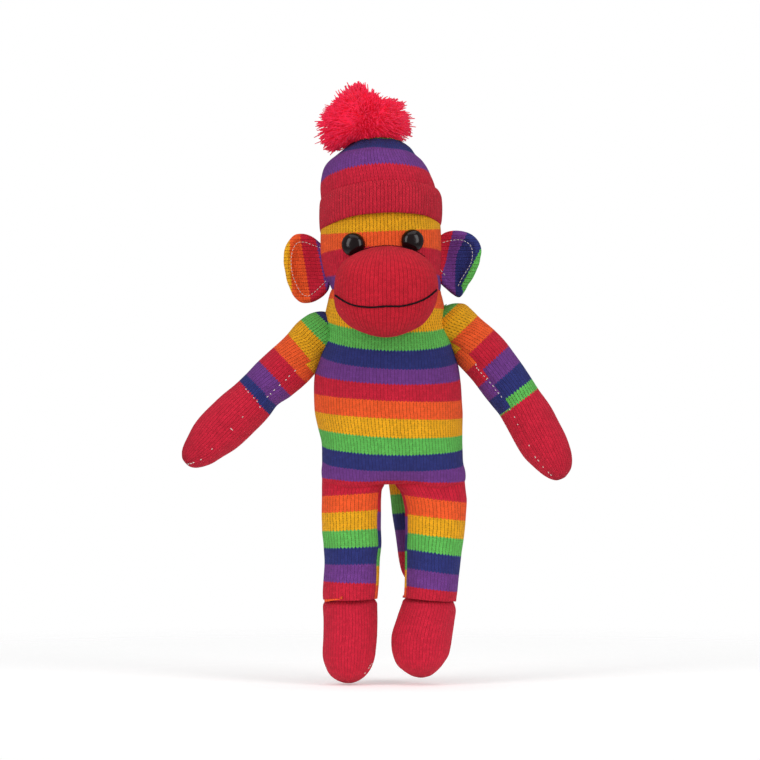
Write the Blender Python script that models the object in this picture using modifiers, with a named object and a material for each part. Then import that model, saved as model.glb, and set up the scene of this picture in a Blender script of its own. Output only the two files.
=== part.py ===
# Stuffed sock doll in a knitted hat, built as separate sewn and stuffed pieces.
# Metres, +Z up. It faces -Y, and its own left side is at +X.
# The origin is the middle of the flat patch on its back, which holds it up.

import bpy
import bmesh
from math import cos, pi, radians, sin, sqrt
from mathutils import Matrix, Vector

mm = 0.001

# Cloth and clearances
sock_thickness = 1.2 * mm
hat_thickness = 1.5 * mm
cuff_thickness = 3.3 * mm
piece_gap = 0.3 * mm
joint_gap = 0.35 * mm
cut_overrun = 30 * mm
eye_roughness = 0.15

# Torso, from the hip line up to the neck seam
torso_height = 126.5 * mm
torso_half_width = 50.6 * mm
torso_half_depth = 36.6 * mm
back_flat_depth = 2.1 * mm
back_height_share = 0.405
hip_side_shift = 3.7 * mm
# height, sideways shift, width, depth
torso_shares = [
    (1.14, -0.25, 0.775, 1.0),
    (1.00, -0.25, 0.775, 1.0),
    (0.84, -0.1, 0.795, 0.95),
    (0.70, 0.0, 0.85, 0.955),
    (0.54, 0.0, 1.005, 0.98),
    (0.40, 0.0, 1.005, 1.0),
    (0.26, 0.4, 0.96, 0.95),
    (0.14, 0.8, 0.93, 0.76),
    (0.00, 1.0, 0.985, 0.60),
    (-0.06, 1.0, 0.80, 0.43),
]

# Neck: nested ball faces, the head's inside the band's and the band's inside the torso's
neck_drop = 20.8 * mm
neck_band_thickness = 3.4 * mm
neck_shift_share = -0.25

# Head, from the neck seam up to the crown of the skull
head_height = 88.5 * mm
head_half_width = 40.8 * mm
head_half_depth = 38.5 * mm
head_lean = radians(6.2)
# height, sideways shift, width, depth
head_shares = [
    (-0.14, 0.0, 0.95, 0.95),
    (0.00, 0.0, 0.95, 0.96),
    (0.20, 0.0, 0.99, 0.99),
    (0.40, 0.02, 1.01, 1.0),
    (0.57, 0.05, 0.90, 0.93),
    (0.78, 0.07, 0.88, 0.91),
    (0.93, 0.08, 0.79, 0.81),
    (1.02, 0.11, 0.52, 0.54),
]
hat_low_share = 0.2

# Muzzle: a stuffed heel cap on the lower face, tip forward
muzzle_length = 47 * mm
muzzle_half_width = 35.4 * mm
muzzle_half_height = 31.0 * mm
muzzle_inset = 9 * mm
muzzle_height_share = -0.02
chin_room = 2 * mm
# length, rise, width, height
muzzle_shares = [
    (0.00, 0.50, 0.60, 0.36),
    (0.22, 0.30, 0.93, 0.57),
    (0.46, 0.04, 1.03, 0.97),
    (0.70, 0.0, 1.0, 1.02),
    (0.88, -0.02, 0.76, 0.78),
    (0.985, -0.02, 0.40, 0.42),
]
mouth_thread_radius = 0.7 * mm
mouth_span_share = 0.93
mouth_drop_share = 0.34
mouth_curl_share = 0.30
mouth_tilt_share = 0.06
mouth_points = 24

# Safety eyes: a dome on a shank that goes through the face into a washer
eye_radius = 7.5 * mm
eye_height = 5.2 * mm
eye_shank_radius = 2.2 * mm
eye_shank_length = 12 * mm
eye_spread = 19.7 * mm
eye_centre_shift = -3.6 * mm
eye_height_share = 0.345
washer_radius = 6.0 * mm
washer_thickness = 1.5 * mm
washer_pocket_gap = 0.8 * mm
washer_depth = 3.9 * mm

# Hat: a knitted crown, a turned-up cuff and a pompom tied on top
hat_back_tilt = radians(11)
cuff_low_share = 0.455
cuff_high_share = 0.775
pompom_half_width = 31.3 * mm
pompom_half_depth = 29 * mm
pompom_half_height = 23.6 * mm
pompom_side_shift = -6.5 * mm
pompom_lift = 0.6 * mm
pompom_lobe_share = 0.06
pompom_lobes = 5
tie_radius = 4.5 * mm
tie_rise = 2.6 * mm
tie_side_shift = 0.4 * mm

# Ears, flat padded discs hinged along the sides of the head
ear_reach = {"left": 24.0 * mm, "right": 26.2 * mm}
ear_half_height = 23.3 * mm
ear_half_thickness = 5.0 * mm
ear_height_share = {"left": 0.18, "right": 0.205}
ear_tuck = radians(6.5)
ear_stand_off = 0.8 * mm
ear_hinge_offset = 1.5 * mm
# reach, rise, height, thickness
ear_shares = [
    (0.00, -0.05, 0.66, 0.50),
    (0.22, -0.04, 0.94, 0.96),
    (0.54, 0.0, 1.04, 1.06),
    (0.83, 0.12, 0.86, 0.95),
    (1.01, 0.22, 0.45, 0.62),
]
stitch_radius = 0.45 * mm
thread_lift = 0.65 * mm
ear_stitch_reach_share = 0.50
ear_stitch_width_share = 0.36
ear_stitch_height_share = 0.74
ear_stitch_points = 18
ear_stitch_open_share = 0.14

# Limbs: the root's rings stand at these angles from the ball's pole
root_angles = (radians(22), radians(58))
ankle_angles = (radians(20), radians(42), radians(60))

# Arms: stuffed tubes that hang out from the shoulders
arm_length = 121 * mm
arm_half_width = 15.3 * mm
arm_ball_radius = 16.0 * mm
arm_stand_off = 5.4 * mm
shoulder_height_share = {"left": 0.752, "right": 0.728}
shoulder_width_share = 0.852
arm_angles = {"left": radians(43), "right": radians(40)}
arm_bends = {"left": radians(25), "right": radians(7)}
arm_lowered = radians(12)
# length, half width
arm_shares = [
    (0.10, 1.0),
    (0.36, 1.0),
    (0.62, 1.09),
    (0.83, 1.10),
    (0.95, 0.82),
    (1.005, 0.42),
]
cup_thickness = 1.7 * mm
shoulder_rim_angle = radians(48)
arm_stitch_start_share = 0.24
arm_stitch_end_share = 0.9
arm_stitch_points = 14

# Legs: stuffed tubes under the torso, each ending in a foot with a seam at the ankle
leg_length = 85.5 * mm
leg_half_width = 20.6 * mm
leg_ball_radius = 22.5 * mm
hip_spread = 28.3 * mm
hip_raise = 1.5 * mm
leg_lean = {"left": radians(2.6), "right": radians(0.4)}
leg_forward_swing = radians(85)
# length, half width
leg_shares = [
    (0.08, 1.0),
    (0.55, 0.975),
    (1.00, 0.94),
    (1.20, 0.94),
]
hip_rim_angle = radians(37)
foot_length = {"left": 52.5 * mm, "right": 55.5 * mm}
foot_half_width = 19.0 * mm
ankle_ball_radius = 21.5 * mm
foot_lean = {"left": radians(11), "right": radians(-1)}
# length, half width
foot_shares = [
    (0.12, 1.0),
    (0.45, 1.02),
    (0.76, 0.98),
    (0.95, 0.70),
    (1.02, 0.36),
]

# Tail: a thin stuffed tube from the low back
tail_length = 94 * mm
tail_half_width = 12.2 * mm
tail_ball_radius = 12.8 * mm
tail_height_share = 0.16
tail_leg_gap = 1.6 * mm
tail_side_shift = 6.7 * mm
tail_side_lean = radians(8)
tail_back_lean = radians(14)
# length, half width
tail_shares = [
    (0.15, 1.0),
    (0.56, 1.0),
    (0.84, 0.90),
    (0.96, 0.66),
    (1.005, 0.36),
]

# Fineness of the meshes
body_sides = 8
limb_sides = 6
ball_sides = 20
neck_sides = 24
turn_steps = 16
thread_sides = 1
pompom_sides = 18
pompom_rings = 10
cup_steps = 3
eye_steps = 4

# A faceted ball lies inside its own radius by this share
ball_facet_share = cos(pi / ball_sides) ** 2

right_axis = Vector((1, 0, 0))
back_axis = Vector((0, 1, 0))
up_axis = Vector((0, 0, 1))

colours = {
    "red": (0.46, 0.020, 0.035),
    "orange": (0.83, 0.10, 0.028),
    "yellow": (0.77, 0.35, 0.018),
    "green": (0.10, 0.44, 0.095),
    "blue": (0.038, 0.045, 0.20),
    "purple": (0.15, 0.047, 0.21),
    "white": (0.80, 0.78, 0.74),
    "black": (0.010, 0.008, 0.009),
}


def material(colour, roughness):
    name = colour + "_finish"
    found = bpy.data.materials.get(name)
    if found:
        return found
    made = bpy.data.materials.new(name)
    made.use_nodes = True
    shader = made.node_tree.nodes["Principled BSDF"]
    shader.inputs["Base Color"].default_value = (*colours[colour], 1)
    shader.inputs["Roughness"].default_value = roughness
    shader.inputs["Metallic"].default_value = 0
    made.diffuse_color = (*colours[colour], 1)
    return made


def clear_scene():
    for old in list(bpy.data.objects):
        bpy.data.objects.remove(old)


def new_collection(name):
    found = bpy.data.collections.new(name)
    bpy.context.scene.collection.children.link(found)
    return found


def new_object(name, data, collection):
    made = bpy.data.objects.new(name, data)
    collection.objects.link(made)
    return made


def new_pivot(name, place):
    """An empty on the joint's axis, which carries the pieces that move with it."""
    made = new_object(name + "_pivot", None, parts_collection)
    made.location = place
    made.empty_display_size = eye_radius
    print("pivot", name, [round(v, 6) for v in place])
    return made


def carried_by(piece, pivot):
    piece.parent = pivot
    piece.matrix_parent_inverse = Matrix.Translation(-pivot.location)
    return piece


def finished(piece, colour, roughness=0.9):
    piece.data.materials.append(material(colour, roughness))
    return piece


def hidden_cutter(cutter):
    cutter.hide_render = True
    cutter.display_type = "WIRE"
    return cutter


def ring(centre, direction, right, half_width, half_depth, sides):
    """One cross-section of a loft, square to its direction."""
    # One subdivision draws the ring's points in by these two shares in turn
    gain = 2 / ((6 + 2 * cos(2 * pi / sides)) / 8 + cos(pi / sides))
    forward = direction.cross(right).normalized()
    points = []
    for step in range(sides):
        angle = 2 * pi * step / sides
        across = right * half_width * cos(angle) + forward * half_depth * sin(angle)
        points.append(centre + across * gain)
    return points


def loft(name, rings, collection, open_start=False):
    """A coarse cage through unlike sections, smoothed by one subdivision."""
    shape = bmesh.new()
    loops = [[shape.verts.new(point) for point in points] for points in rings]
    for lower, upper in zip(loops, loops[1:]):
        for here in range(len(lower)):
            after = (here + 1) % len(lower)
            shape.faces.new((lower[here], lower[after], upper[after], upper[here]))
    if not open_start:
        shape.faces.new(list(reversed(loops[0])))
    shape.faces.new(loops[-1])
    data = bpy.data.meshes.new(name)
    shape.to_mesh(data)
    shape.free()
    made = new_object(name, data, collection)
    smooth = made.modifiers.new("smooth", "SUBSURF")
    smooth.levels = 1
    smooth.render_levels = 1
    return made


def swell(piece, distance):
    """Move the surface out, or in where the distance is negative."""
    moved = piece.modifiers.new("swell", "DISPLACE")
    moved.strength = distance
    moved.mid_level = 0


def thicken(piece, thickness, side):
    wall = piece.modifiers.new("wall", "SOLIDIFY")
    wall.thickness = thickness
    wall.offset = side


def combine(piece, other, operation):
    step = piece.modifiers.new("with_" + other.name, "BOOLEAN")
    step.object = other
    step.operation = operation
    step.solver = "EXACT"


def cut_all(pieces, cutters):
    for piece in pieces:
        for cutter in cutters:
            combine(piece, cutter, "DIFFERENCE")


def cut_loft(name, rings, growth):
    """The solid inside a loft, grown by a clearance, as a cutter."""
    made = loft(name, rings, cutters_collection)
    swell(made, growth)
    return hidden_cutter(made)


def sewn_pair(name, rings, colour, pivot):
    """A sock skin, open where its rings start, and the stuffing inside it."""
    skin = finished(loft(name + "_skin", rings, parts_collection, open_start=True), colour)
    thicken(skin, sock_thickness, -1)
    stuffing = finished(loft(name + "_stuffing", rings, parts_collection), "white")
    swell(stuffing, -(sock_thickness + piece_gap))
    carried_by(skin, pivot)
    carried_by(stuffing, pivot)
    return skin, stuffing


def mesh_from(name, shape, collection):
    data = bpy.data.meshes.new(name)
    shape.to_mesh(data)
    shape.free()
    return new_object(name, data, collection)


def turned_to(direction):
    return up_axis.rotation_difference(direction).to_matrix().to_4x4()


def ball_cutter(name, centre, radius, sides=ball_sides, pole=up_axis):
    shape = bmesh.new()
    place = Matrix.Translation(centre) @ turned_to(pole)
    bmesh.ops.create_uvsphere(
        shape, u_segments=sides, v_segments=sides // 2, radius=radius, matrix=place
    )
    return hidden_cutter(mesh_from(name, shape, cutters_collection))


def socket_cutter(name, centre, ball_radius):
    """A ball that leaves the joint's gap all round another of the given radius."""
    return ball_cutter(name, centre, (ball_radius + joint_gap) / ball_facet_share)


def neck_socket(name, ball_radius, axis):
    """A finer ball for a face that turns about one axis only, its own poles' axis."""
    radius = (ball_radius + joint_gap) / cos(pi / neck_sides)
    return ball_cutter(name, neck_centre, radius, neck_sides, axis)


def block_cutter(name, centre, direction, radius, reach):
    """A round block that starts at a centre and runs along a direction."""
    shape = bmesh.new()
    place = Matrix.Translation(centre + direction * reach / 2) @ turned_to(direction)
    bmesh.ops.create_cone(
        shape,
        cap_ends=True,
        segments=ball_sides,
        radius1=radius,
        radius2=radius,
        depth=reach,
        matrix=place,
    )
    return hidden_cutter(mesh_from(name, shape, cutters_collection))


def turned(name, outline, centre, direction, collection):
    """A turned solid: its outline is (radius, height), top to bottom."""
    data = bpy.data.meshes.new(name)
    points = [(radius, 0, height) for radius, height in outline]
    edges = [(step, step + 1) for step in range(len(points) - 1)]
    if outline[0][0]:
        edges.append((len(points) - 1, 0))
    data.from_pydata(points, edges, [])
    made = new_object(name, data, collection)
    made.matrix_world = Matrix.Translation(centre) @ turned_to(direction)
    spin = made.modifiers.new("spin", "SCREW")
    spin.steps = turn_steps
    spin.render_steps = turn_steps
    spin.use_merge_vertices = True
    spin.merge_threshold = 0.00001
    return made


def joint_cup(name, centre, direction, ball_radius, rim_angle, pivot, colour):
    """The gathered root of a limb: a shallow cup behind the limb's ball."""
    facet_share = cos(pi / turn_steps) * cos(rim_angle / cup_steps / 2)
    inner = (ball_radius + joint_gap) / facet_share
    outer = ball_radius + joint_gap + cup_thickness
    turns = [rim_angle * step / cup_steps for step in range(cup_steps + 1)]
    outline = [(outer * sin(turn), outer * cos(turn)) for turn in turns]
    outline += [(inner * sin(turn), inner * cos(turn)) for turn in reversed(turns)]
    made = turned(name, outline, centre, direction, parts_collection)
    return finished(carried_by(made, pivot), colour)


def surface_of(piece):
    bpy.context.view_layer.update()
    return piece.evaluated_get(bpy.context.evaluated_depsgraph_get())


def touch(piece, start, direction):
    """Where a line from outside first meets a piece, and the way that face looks."""
    found, place, normal, _ = surface_of(piece).ray_cast(start, direction)
    if not found:
        raise ValueError("nothing of " + piece.name + " lies there")
    return place, normal


def thread(name, points, radius, colour, pivot):
    data = bpy.data.curves.new(name, "CURVE")
    data.dimensions = "3D"
    data.bevel_depth = radius
    data.bevel_resolution = thread_sides
    data.use_fill_caps = True
    line = data.splines.new("POLY")
    line.points.add(len(points) - 1)
    for point, place in zip(line.points, points):
        point.co = (*place, 1)
    made = new_object(name, data, parts_collection)
    finished(made, colour)
    return carried_by(made, pivot)


def sewn_thread(name, piece, starts, direction, radius, colour, pivot):
    """A thread that lies on a piece below the given starting points."""
    points = []
    for start in starts:
        place, normal = touch(piece, start, direction)
        points.append(place + normal * (radius + thread_lift))
    return thread(name, points, radius, colour, pivot)


# Places that more than one piece follows

body_y = back_flat_depth - torso_half_depth
hip_z = -torso_height * back_height_share
neck_x = hip_side_shift * neck_shift_share
neck_seam_z = hip_z + torso_height
neck_half_width = torso_half_width * torso_shares[0][2]
neck_half_depth = torso_half_depth * torso_shares[0][3]
neck_ball_radius = sqrt((head_half_width * head_shares[1][2]) ** 2 + neck_drop**2)
neck_centre = Vector((neck_x, body_y, neck_seam_z + neck_drop))
neck_band_radius = neck_ball_radius + joint_gap + neck_band_thickness
hat_up = Vector((-sin(head_lean), sin(hat_back_tilt), cos(hat_back_tilt))).normalized()


def side_sign(side):
    return 1 if side == "left" else -1


def torso_rings():
    """From the neck down, because the skin is open at the neck."""
    rings = []
    for height, shift, width, depth in torso_shares:
        centre = Vector((hip_side_shift * shift, body_y, hip_z + torso_height * height))
        sizes = (torso_half_width * width, torso_half_depth * depth)
        rings.append(ring(centre, -up_axis, right_axis, *sizes, body_sides))
    return rings


def neck_rings():
    """A straight tube of the neck's size, which the neck's ball faces trim."""
    rings = []
    for reach in (neck_band_radius, neck_band_radius / 2, 0):
        centre = neck_centre - up_axis * reach
        sizes = (neck_half_width, neck_half_depth)
        rings.append(ring(centre, up_axis, right_axis, *sizes, body_sides))
    return rings


def head_point(share):
    """A point on the leaning middle line of the head."""
    height = head_height * share
    return Vector((neck_x - sin(head_lean) * height, body_y, neck_seam_z + height))


def head_rings(low_share=head_shares[0][0]):
    rings = []
    for share, shift, width, depth in head_shares:
        if share < low_share:
            continue
        centre = head_point(share) + right_axis * head_half_width * shift
        sizes = (head_half_width * width, head_half_depth * depth)
        rings.append(ring(centre, up_axis, right_axis, *sizes, body_sides))
    return rings


def head_floor():
    """A wider ring under the head's first, which keeps the muzzle clear of the neck."""
    share, _, width, depth = head_shares[0]
    centre = head_point(share) - up_axis * muzzle_half_height
    sizes = (head_half_width * width + chin_room, head_half_depth * depth + chin_room)
    return ring(centre, up_axis, right_axis, *sizes, body_sides)


def ball_rings(centre, direction, right, radius, angles):
    """The rounded root of a limb, behind a centre, round a small opening."""
    rings = []
    for angle in angles:
        place = centre - direction * radius * cos(angle)
        width = radius * sin(angle)
        rings.append(ring(place, direction, right, width, width, limb_sides))
    return rings


def limb_rings(start, shares, length, half_width, direction_at, right):
    """Round rings along a limb whose direction changes along its length."""
    rings = []
    place = start
    last = 0
    for share, width in shares:
        place = place + direction_at(max((share + last) / 2, 0)) * length * (share - last)
        last = share
        direction = direction_at(max(share, 0))
        radius = half_width * width
        rings.append(ring(place, direction, right, radius, radius, limb_sides))
    return rings


def steady(direction):
    return lambda share: direction


def arm_direction(side, share, lowered=0):
    angle = arm_angles[side] + arm_bends[side] * share + lowered
    return Vector((side_sign(side) * cos(angle), 0, -sin(angle)))


def shoulder_centre(side):
    width = torso_half_width * shoulder_width_share + arm_stand_off
    height = hip_z + torso_height * shoulder_height_share[side]
    return Vector((side_sign(side) * width, body_y, height))


def hip_centre(side):
    place = side_sign(side) * hip_spread
    return Vector((hip_side_shift + place, body_y, hip_z + hip_raise))


def leg_direction(side):
    lean = leg_lean[side]
    return Vector((-side_sign(side) * sin(lean), 0, -cos(lean)))


def foot_direction(side):
    lean = foot_lean[side]
    return Vector((-side_sign(side) * sin(lean), 0, -cos(lean)))


def ankle_point(side):
    return hip_centre(side) + leg_direction(side) * leg_length


def ankle_centre(side):
    drop = sqrt(ankle_ball_radius**2 - foot_half_width**2)
    return ankle_point(side) + foot_direction(side) * drop


def tail_centre():
    depth = leg_half_width + tail_half_width + tail_leg_gap
    height = hip_z + torso_height * tail_height_share
    return Vector((hip_side_shift + tail_side_shift, body_y + depth, height))


def build_torso():
    pivot = new_pivot("torso", Vector((0, 0, 0)))
    pieces = sewn_pair("torso", torso_rings(), "blue", pivot)
    cutters = [
        neck_socket("neck_room", neck_band_radius, up_axis),
        socket_cutter("tail_room", tail_centre(), tail_ball_radius),
        block_cutter("back_flat", Vector((0, 0, 0)), back_axis, torso_half_width, cut_overrun),
    ]
    cup_reach = joint_gap + cup_thickness
    for side in ("left", "right"):
        shoulder = shoulder_centre(side)
        hip = hip_centre(side)
        lowered = arm_direction(side, 0, arm_lowered)
        arm_room = (arm_half_width + joint_gap) / ball_facet_share
        leg_room = (leg_half_width + joint_gap) / ball_facet_share
        forward = leg_direction(side) * cos(leg_forward_swing) - back_axis * sin(leg_forward_swing)
        cutters += [
            socket_cutter("shoulder_room_" + side, shoulder, arm_ball_radius + cup_reach),
            socket_cutter("hip_room_" + side, hip, leg_ball_radius + cup_reach),
            block_cutter("lowered_arm_" + side, shoulder, lowered, arm_room, arm_length / 2),
            block_cutter("raised_leg_" + side, hip, forward, leg_room, leg_length),
        ]
    cut_all(pieces, cutters)


def build_neck():
    pivot = new_pivot("neck", neck_centre)
    band = finished(loft("neck_band", neck_rings(), parts_collection), "orange")
    outer = ball_cutter("neck_band_face", neck_centre, neck_band_radius, neck_sides)
    combine(band, outer, "INTERSECT")
    combine(band, neck_socket("head_room_in_neck", neck_ball_radius, right_axis), "DIFFERENCE")
    carried_by(band, pivot)


def muzzle_point(length, rise):
    """A point on the muzzle's middle line, from inside the face to its tip."""
    base = head_point(muzzle_height_share)
    forward = head_half_depth - muzzle_inset + muzzle_length * length
    return base - back_axis * forward + up_axis * muzzle_half_height * rise


def muzzle_rings():
    rings = []
    for length, rise, width, height in muzzle_shares:
        centre = muzzle_point(length, rise)
        sizes = (muzzle_half_width * width, muzzle_half_height * height)
        rings.append(ring(centre, -back_axis, right_axis, *sizes, body_sides))
    return rings


def build_muzzle(pivot, head_solid):
    skin, stuffing = sewn_pair("muzzle", muzzle_rings(), "red", pivot)
    cut_all((skin, stuffing), [head_solid])
    starts = []
    for step in range(mouth_points):
        across = mouth_span_share * (2 * step / (mouth_points - 1) - 1)
        rise = mouth_curl_share * abs(across) ** 3 + mouth_tilt_share * across - mouth_drop_share
        start = muzzle_point(2, rise) + right_axis * muzzle_half_width * across
        starts.append(start)
    sewn_thread("mouth_thread", skin, starts, back_axis, mouth_thread_radius, "black", pivot)


def eye_outline():
    outline = []
    for step in range(eye_steps + 1):
        angle = pi / 2 * step / eye_steps
        outline.append((eye_radius * sin(angle), eye_height * cos(angle) + piece_gap))
    outline += [(eye_radius, 0), (eye_shank_radius, 0), (eye_shank_radius, -eye_shank_length)]
    outline.append((0, -eye_shank_length))
    return outline


def build_eye(side, pivot, skin, stuffing, place, normal):
    seat = place + normal * piece_gap
    eye = turned("eye_" + side, eye_outline(), seat, normal, parts_collection)
    finished(carried_by(eye, pivot), "black", eye_roughness)
    hole = eye_shank_radius + piece_gap
    inner = hole / cos(pi / turn_steps)
    washer_outline = [
        (inner, 0),
        (washer_radius, 0),
        (washer_radius, -washer_thickness),
        (inner, -washer_thickness),
    ]
    seat = place - normal * washer_depth
    washer = turned("eye_washer_" + side, washer_outline, seat, normal, parts_collection)
    finished(carried_by(washer, pivot), "white", eye_roughness)
    start = place + normal * eye_radius
    reach = eye_radius + eye_shank_length + washer_pocket_gap
    hole_cutter = block_cutter("eye_hole_" + side, start, -normal, hole, reach)
    pocket_radius = washer_radius + washer_pocket_gap
    pocket = block_cutter("washer_room_" + side, start, -normal, pocket_radius, reach)
    return hole_cutter, pocket


def build_head(pivot):
    skin, stuffing = sewn_pair("head", head_rings(), "orange", pivot)
    reach = 2 * neck_ball_radius
    neck_face = block_cutter("head_ball_end", neck_centre, -up_axis, reach, reach)
    ball = ball_cutter("head_ball", neck_centre, neck_ball_radius, neck_sides, right_axis)
    combine(neck_face, ball, "DIFFERENCE")
    cut_all((skin, stuffing), [neck_face])
    centre = head_point(eye_height_share) + right_axis * eye_centre_shift
    seats = {}
    for side in ("left", "right"):
        spread = hat_side() * side_sign(side) * eye_spread
        seats[side] = touch(skin, centre + spread - back_axis * 2 * head_half_depth, back_axis)
    for side, (place, normal) in seats.items():
        hole, pocket = build_eye(side, pivot, skin, stuffing, place, normal)
        combine(skin, hole, "DIFFERENCE")
        combine(stuffing, pocket, "DIFFERENCE")
    return skin


def hat_side():
    """Across the leaning head, towards its own left."""
    return Vector((cos(head_lean), 0, sin(head_lean)))


def build_hat(pivot):
    rings = head_rings(hat_low_share)
    low = head_point(cuff_low_share)
    cuff_height = head_height * (cuff_high_share - cuff_low_share)
    crown = finished(loft("hat_crown", rings, parts_collection, open_start=True), "purple")
    swell(crown, piece_gap)
    thicken(crown, hat_thickness, 1)
    reach = 2 * head_half_width
    combine(crown, block_cutter("hat_brim", low, -hat_up, reach, reach), "DIFFERENCE")
    cuff = finished(loft("hat_cuff", rings, parts_collection, open_start=True), "red")
    swell(cuff, hat_thickness + 2 * piece_gap)
    thicken(cuff, cuff_thickness, 1)
    slab = block_cutter("cuff_band", low, hat_up, reach, cuff_height)
    combine(cuff, slab, "INTERSECT")
    carried_by(crown, pivot)
    carried_by(cuff, pivot)
    return crown


def build_tie(crown, pivot):
    """The knot that the pompom hangs on, standing on the crown."""
    above = head_point(1) + right_axis * tie_side_shift + up_axis * head_height
    place, _ = touch(crown, above, -up_axis)
    centre = place + up_axis * tie_rise
    foot = tie_rise - 2 * piece_gap
    outline = []
    for step in range(eye_steps + 1):
        angle = pi * step / (eye_steps + 2)
        if cos(angle) * tie_radius > -foot:
            outline.append((tie_radius * sin(angle), tie_radius * cos(angle)))
    outline.append((sqrt(tie_radius**2 - foot**2), -foot))
    outline.append((0, -foot))
    tie = turned("pompom_tie", outline, centre, up_axis, parts_collection)
    finished(carried_by(tie, pivot), "green")
    return centre, place


def build_pompom(tie_centre, seat):
    pivot = new_pivot("pompom", tie_centre)
    shape = bmesh.new()
    bmesh.ops.create_uvsphere(shape, u_segments=pompom_sides, v_segments=pompom_rings, radius=1)
    for vert in shape.verts:
        lobes = sin(pompom_lobes * vert.co.x) * cos(pompom_lobes * vert.co.y)
        vert.co *= 1 + pompom_lobe_share * lobes * (1 - vert.co.z**2)
        vert.co.x *= pompom_half_width
        vert.co.y *= pompom_half_depth
        vert.co.z *= pompom_half_height
    pompom = mesh_from("pompom", shape, parts_collection)
    middle = seat + up_axis * (pompom_lift + pompom_half_height) + right_axis * pompom_side_shift
    pompom.data.transform(Matrix.Translation(middle))
    finished(pompom, "red")
    combine(pompom, socket_cutter("tie_room", tie_centre, tie_radius), "DIFFERENCE")
    carried_by(pompom, pivot)


def build_ear(side, head_skin):
    sign = side_sign(side)
    up = Vector((sign * sin(ear_tuck) - sin(head_lean), 0, 1)).normalized()
    outward = sign * Vector((up.z, 0, -up.x))
    reach = ear_reach[side]
    middle = head_point(ear_height_share[side])
    middle += up_axis * sign * sin(head_lean) * head_half_width / 2
    aside = sign * right_axis
    place, _ = touch(head_skin, middle + aside * 2 * head_half_width, -aside)
    base = place + outward * ear_stand_off
    pivot = new_pivot("ear_" + side, base + outward * ear_hinge_offset)
    print("axis ear_" + side, [round(v, 6) for v in up])
    rings = []
    for along, rise, height, thickness in ear_shares:
        centre = base + outward * reach * along + up * ear_half_height * rise
        sizes = (ear_half_thickness * thickness, ear_half_height * height)
        rings.append(ring(centre, outward, back_axis, *sizes, limb_sides))
    skin, _ = sewn_pair("ear_" + side, rings, "yellow", pivot)
    oval = base + outward * reach * ear_stitch_reach_share - back_axis * reach
    starts = []
    for step in range(ear_stitch_points):
        swept = step / (ear_stitch_points - 1)
        angle = pi * (ear_stitch_open_share + 2 * (1 - ear_stitch_open_share) * swept)
        across = outward * reach * ear_stitch_width_share * -cos(angle)
        along = up * ear_half_height * ear_stitch_height_share * sin(angle)
        starts.append(oval + across + along)
    name = "ear_" + side + "_topstitch"
    sewn_thread(name, skin, starts, back_axis, stitch_radius, "white", pivot)


def build_arm(side):
    centre = shoulder_centre(side)
    shoulder_pivot = new_pivot("shoulder_" + side, centre)
    arm_pivot = new_pivot("arm_" + side, centre)
    start = arm_direction(side, 0)
    name = "shoulder_" + side
    joint_cup(name, centre, -start, arm_ball_radius, shoulder_rim_angle, shoulder_pivot, "blue")

    def direction_at(share):
        return arm_direction(side, share)

    rings = ball_rings(centre, start, back_axis, arm_ball_radius, root_angles)
    rings += limb_rings(centre, arm_shares, arm_length, arm_half_width, direction_at, back_axis)
    skin, _ = sewn_pair("arm_" + side, rings, "yellow", arm_pivot)
    starts = []
    for step in range(arm_stitch_points):
        stitched = arm_stitch_end_share - arm_stitch_start_share
        along = arm_stitch_start_share + stitched * step / (arm_stitch_points - 1)
        place = centre + direction_at(along / 2) * arm_length * along
        starts.append(place - back_axis * 2 * arm_half_width)
    name = "arm_" + side + "_seam_thread"
    sewn_thread(name, skin, starts, back_axis, stitch_radius, "white", arm_pivot)


def build_leg(side):
    hip = hip_centre(side)
    ankle = ankle_centre(side)
    down = leg_direction(side)
    hip_pivot = new_pivot("hip_" + side, hip)
    leg_pivot = new_pivot("leg_" + side, hip)
    foot_pivot = new_pivot("foot_" + side, ankle)
    joint_cup("hip_" + side, hip, -down, leg_ball_radius, hip_rim_angle, hip_pivot, "blue")
    rings = ball_rings(hip, down, back_axis, leg_ball_radius, root_angles)
    rings += limb_rings(hip, leg_shares, leg_length, leg_half_width, steady(down), back_axis)
    pieces = sewn_pair("leg_" + side, rings, "green", leg_pivot)
    cut_all(pieces, [socket_cutter("foot_room_" + side, ankle, ankle_ball_radius)])
    toe = foot_direction(side)
    start = ankle_point(side)
    rings = ball_rings(ankle, toe, back_axis, ankle_ball_radius, ankle_angles)
    length = foot_length[side]
    rings += limb_rings(start, foot_shares, length, foot_half_width, steady(toe), back_axis)
    sewn_pair("foot_" + side, rings, "red", foot_pivot)


def build_tail():
    centre = tail_centre()
    pivot = new_pivot("tail", centre)
    direction = Vector((sin(tail_side_lean), sin(tail_back_lean), -1)).normalized()
    right = (right_axis - direction * direction.x).normalized()
    rings = ball_rings(centre, direction, right, tail_ball_radius, root_angles)
    rings += limb_rings(
        centre, tail_shares, tail_length, tail_half_width, steady(direction), right
    )
    sewn_pair("tail", rings, "purple", pivot)


clear_scene()
parts_collection = new_collection("sock_monkey_doll")
cutters_collection = new_collection("cutters")

build_torso()
build_neck()
head_pivot = new_pivot("head", neck_centre)
head_skin = build_head(head_pivot)
head_solid = cut_loft("head_solid", [head_floor()] + head_rings(), piece_gap)
build_muzzle(head_pivot, head_solid)
hat_crown = build_hat(head_pivot)
build_pompom(*build_tie(hat_crown, head_pivot))
for side in ("left", "right"):
    build_ear(side, head_skin)
    build_arm(side)
    build_leg(side)
build_tail()
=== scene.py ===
# Rainbow sock monkey doll: knitted skins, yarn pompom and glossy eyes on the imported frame.
import math
import random
from functools import partial

import bpy
import bmesh
import numpy as np
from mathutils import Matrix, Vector, noise
from mathutils.bvhtree import BVHTree


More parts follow.
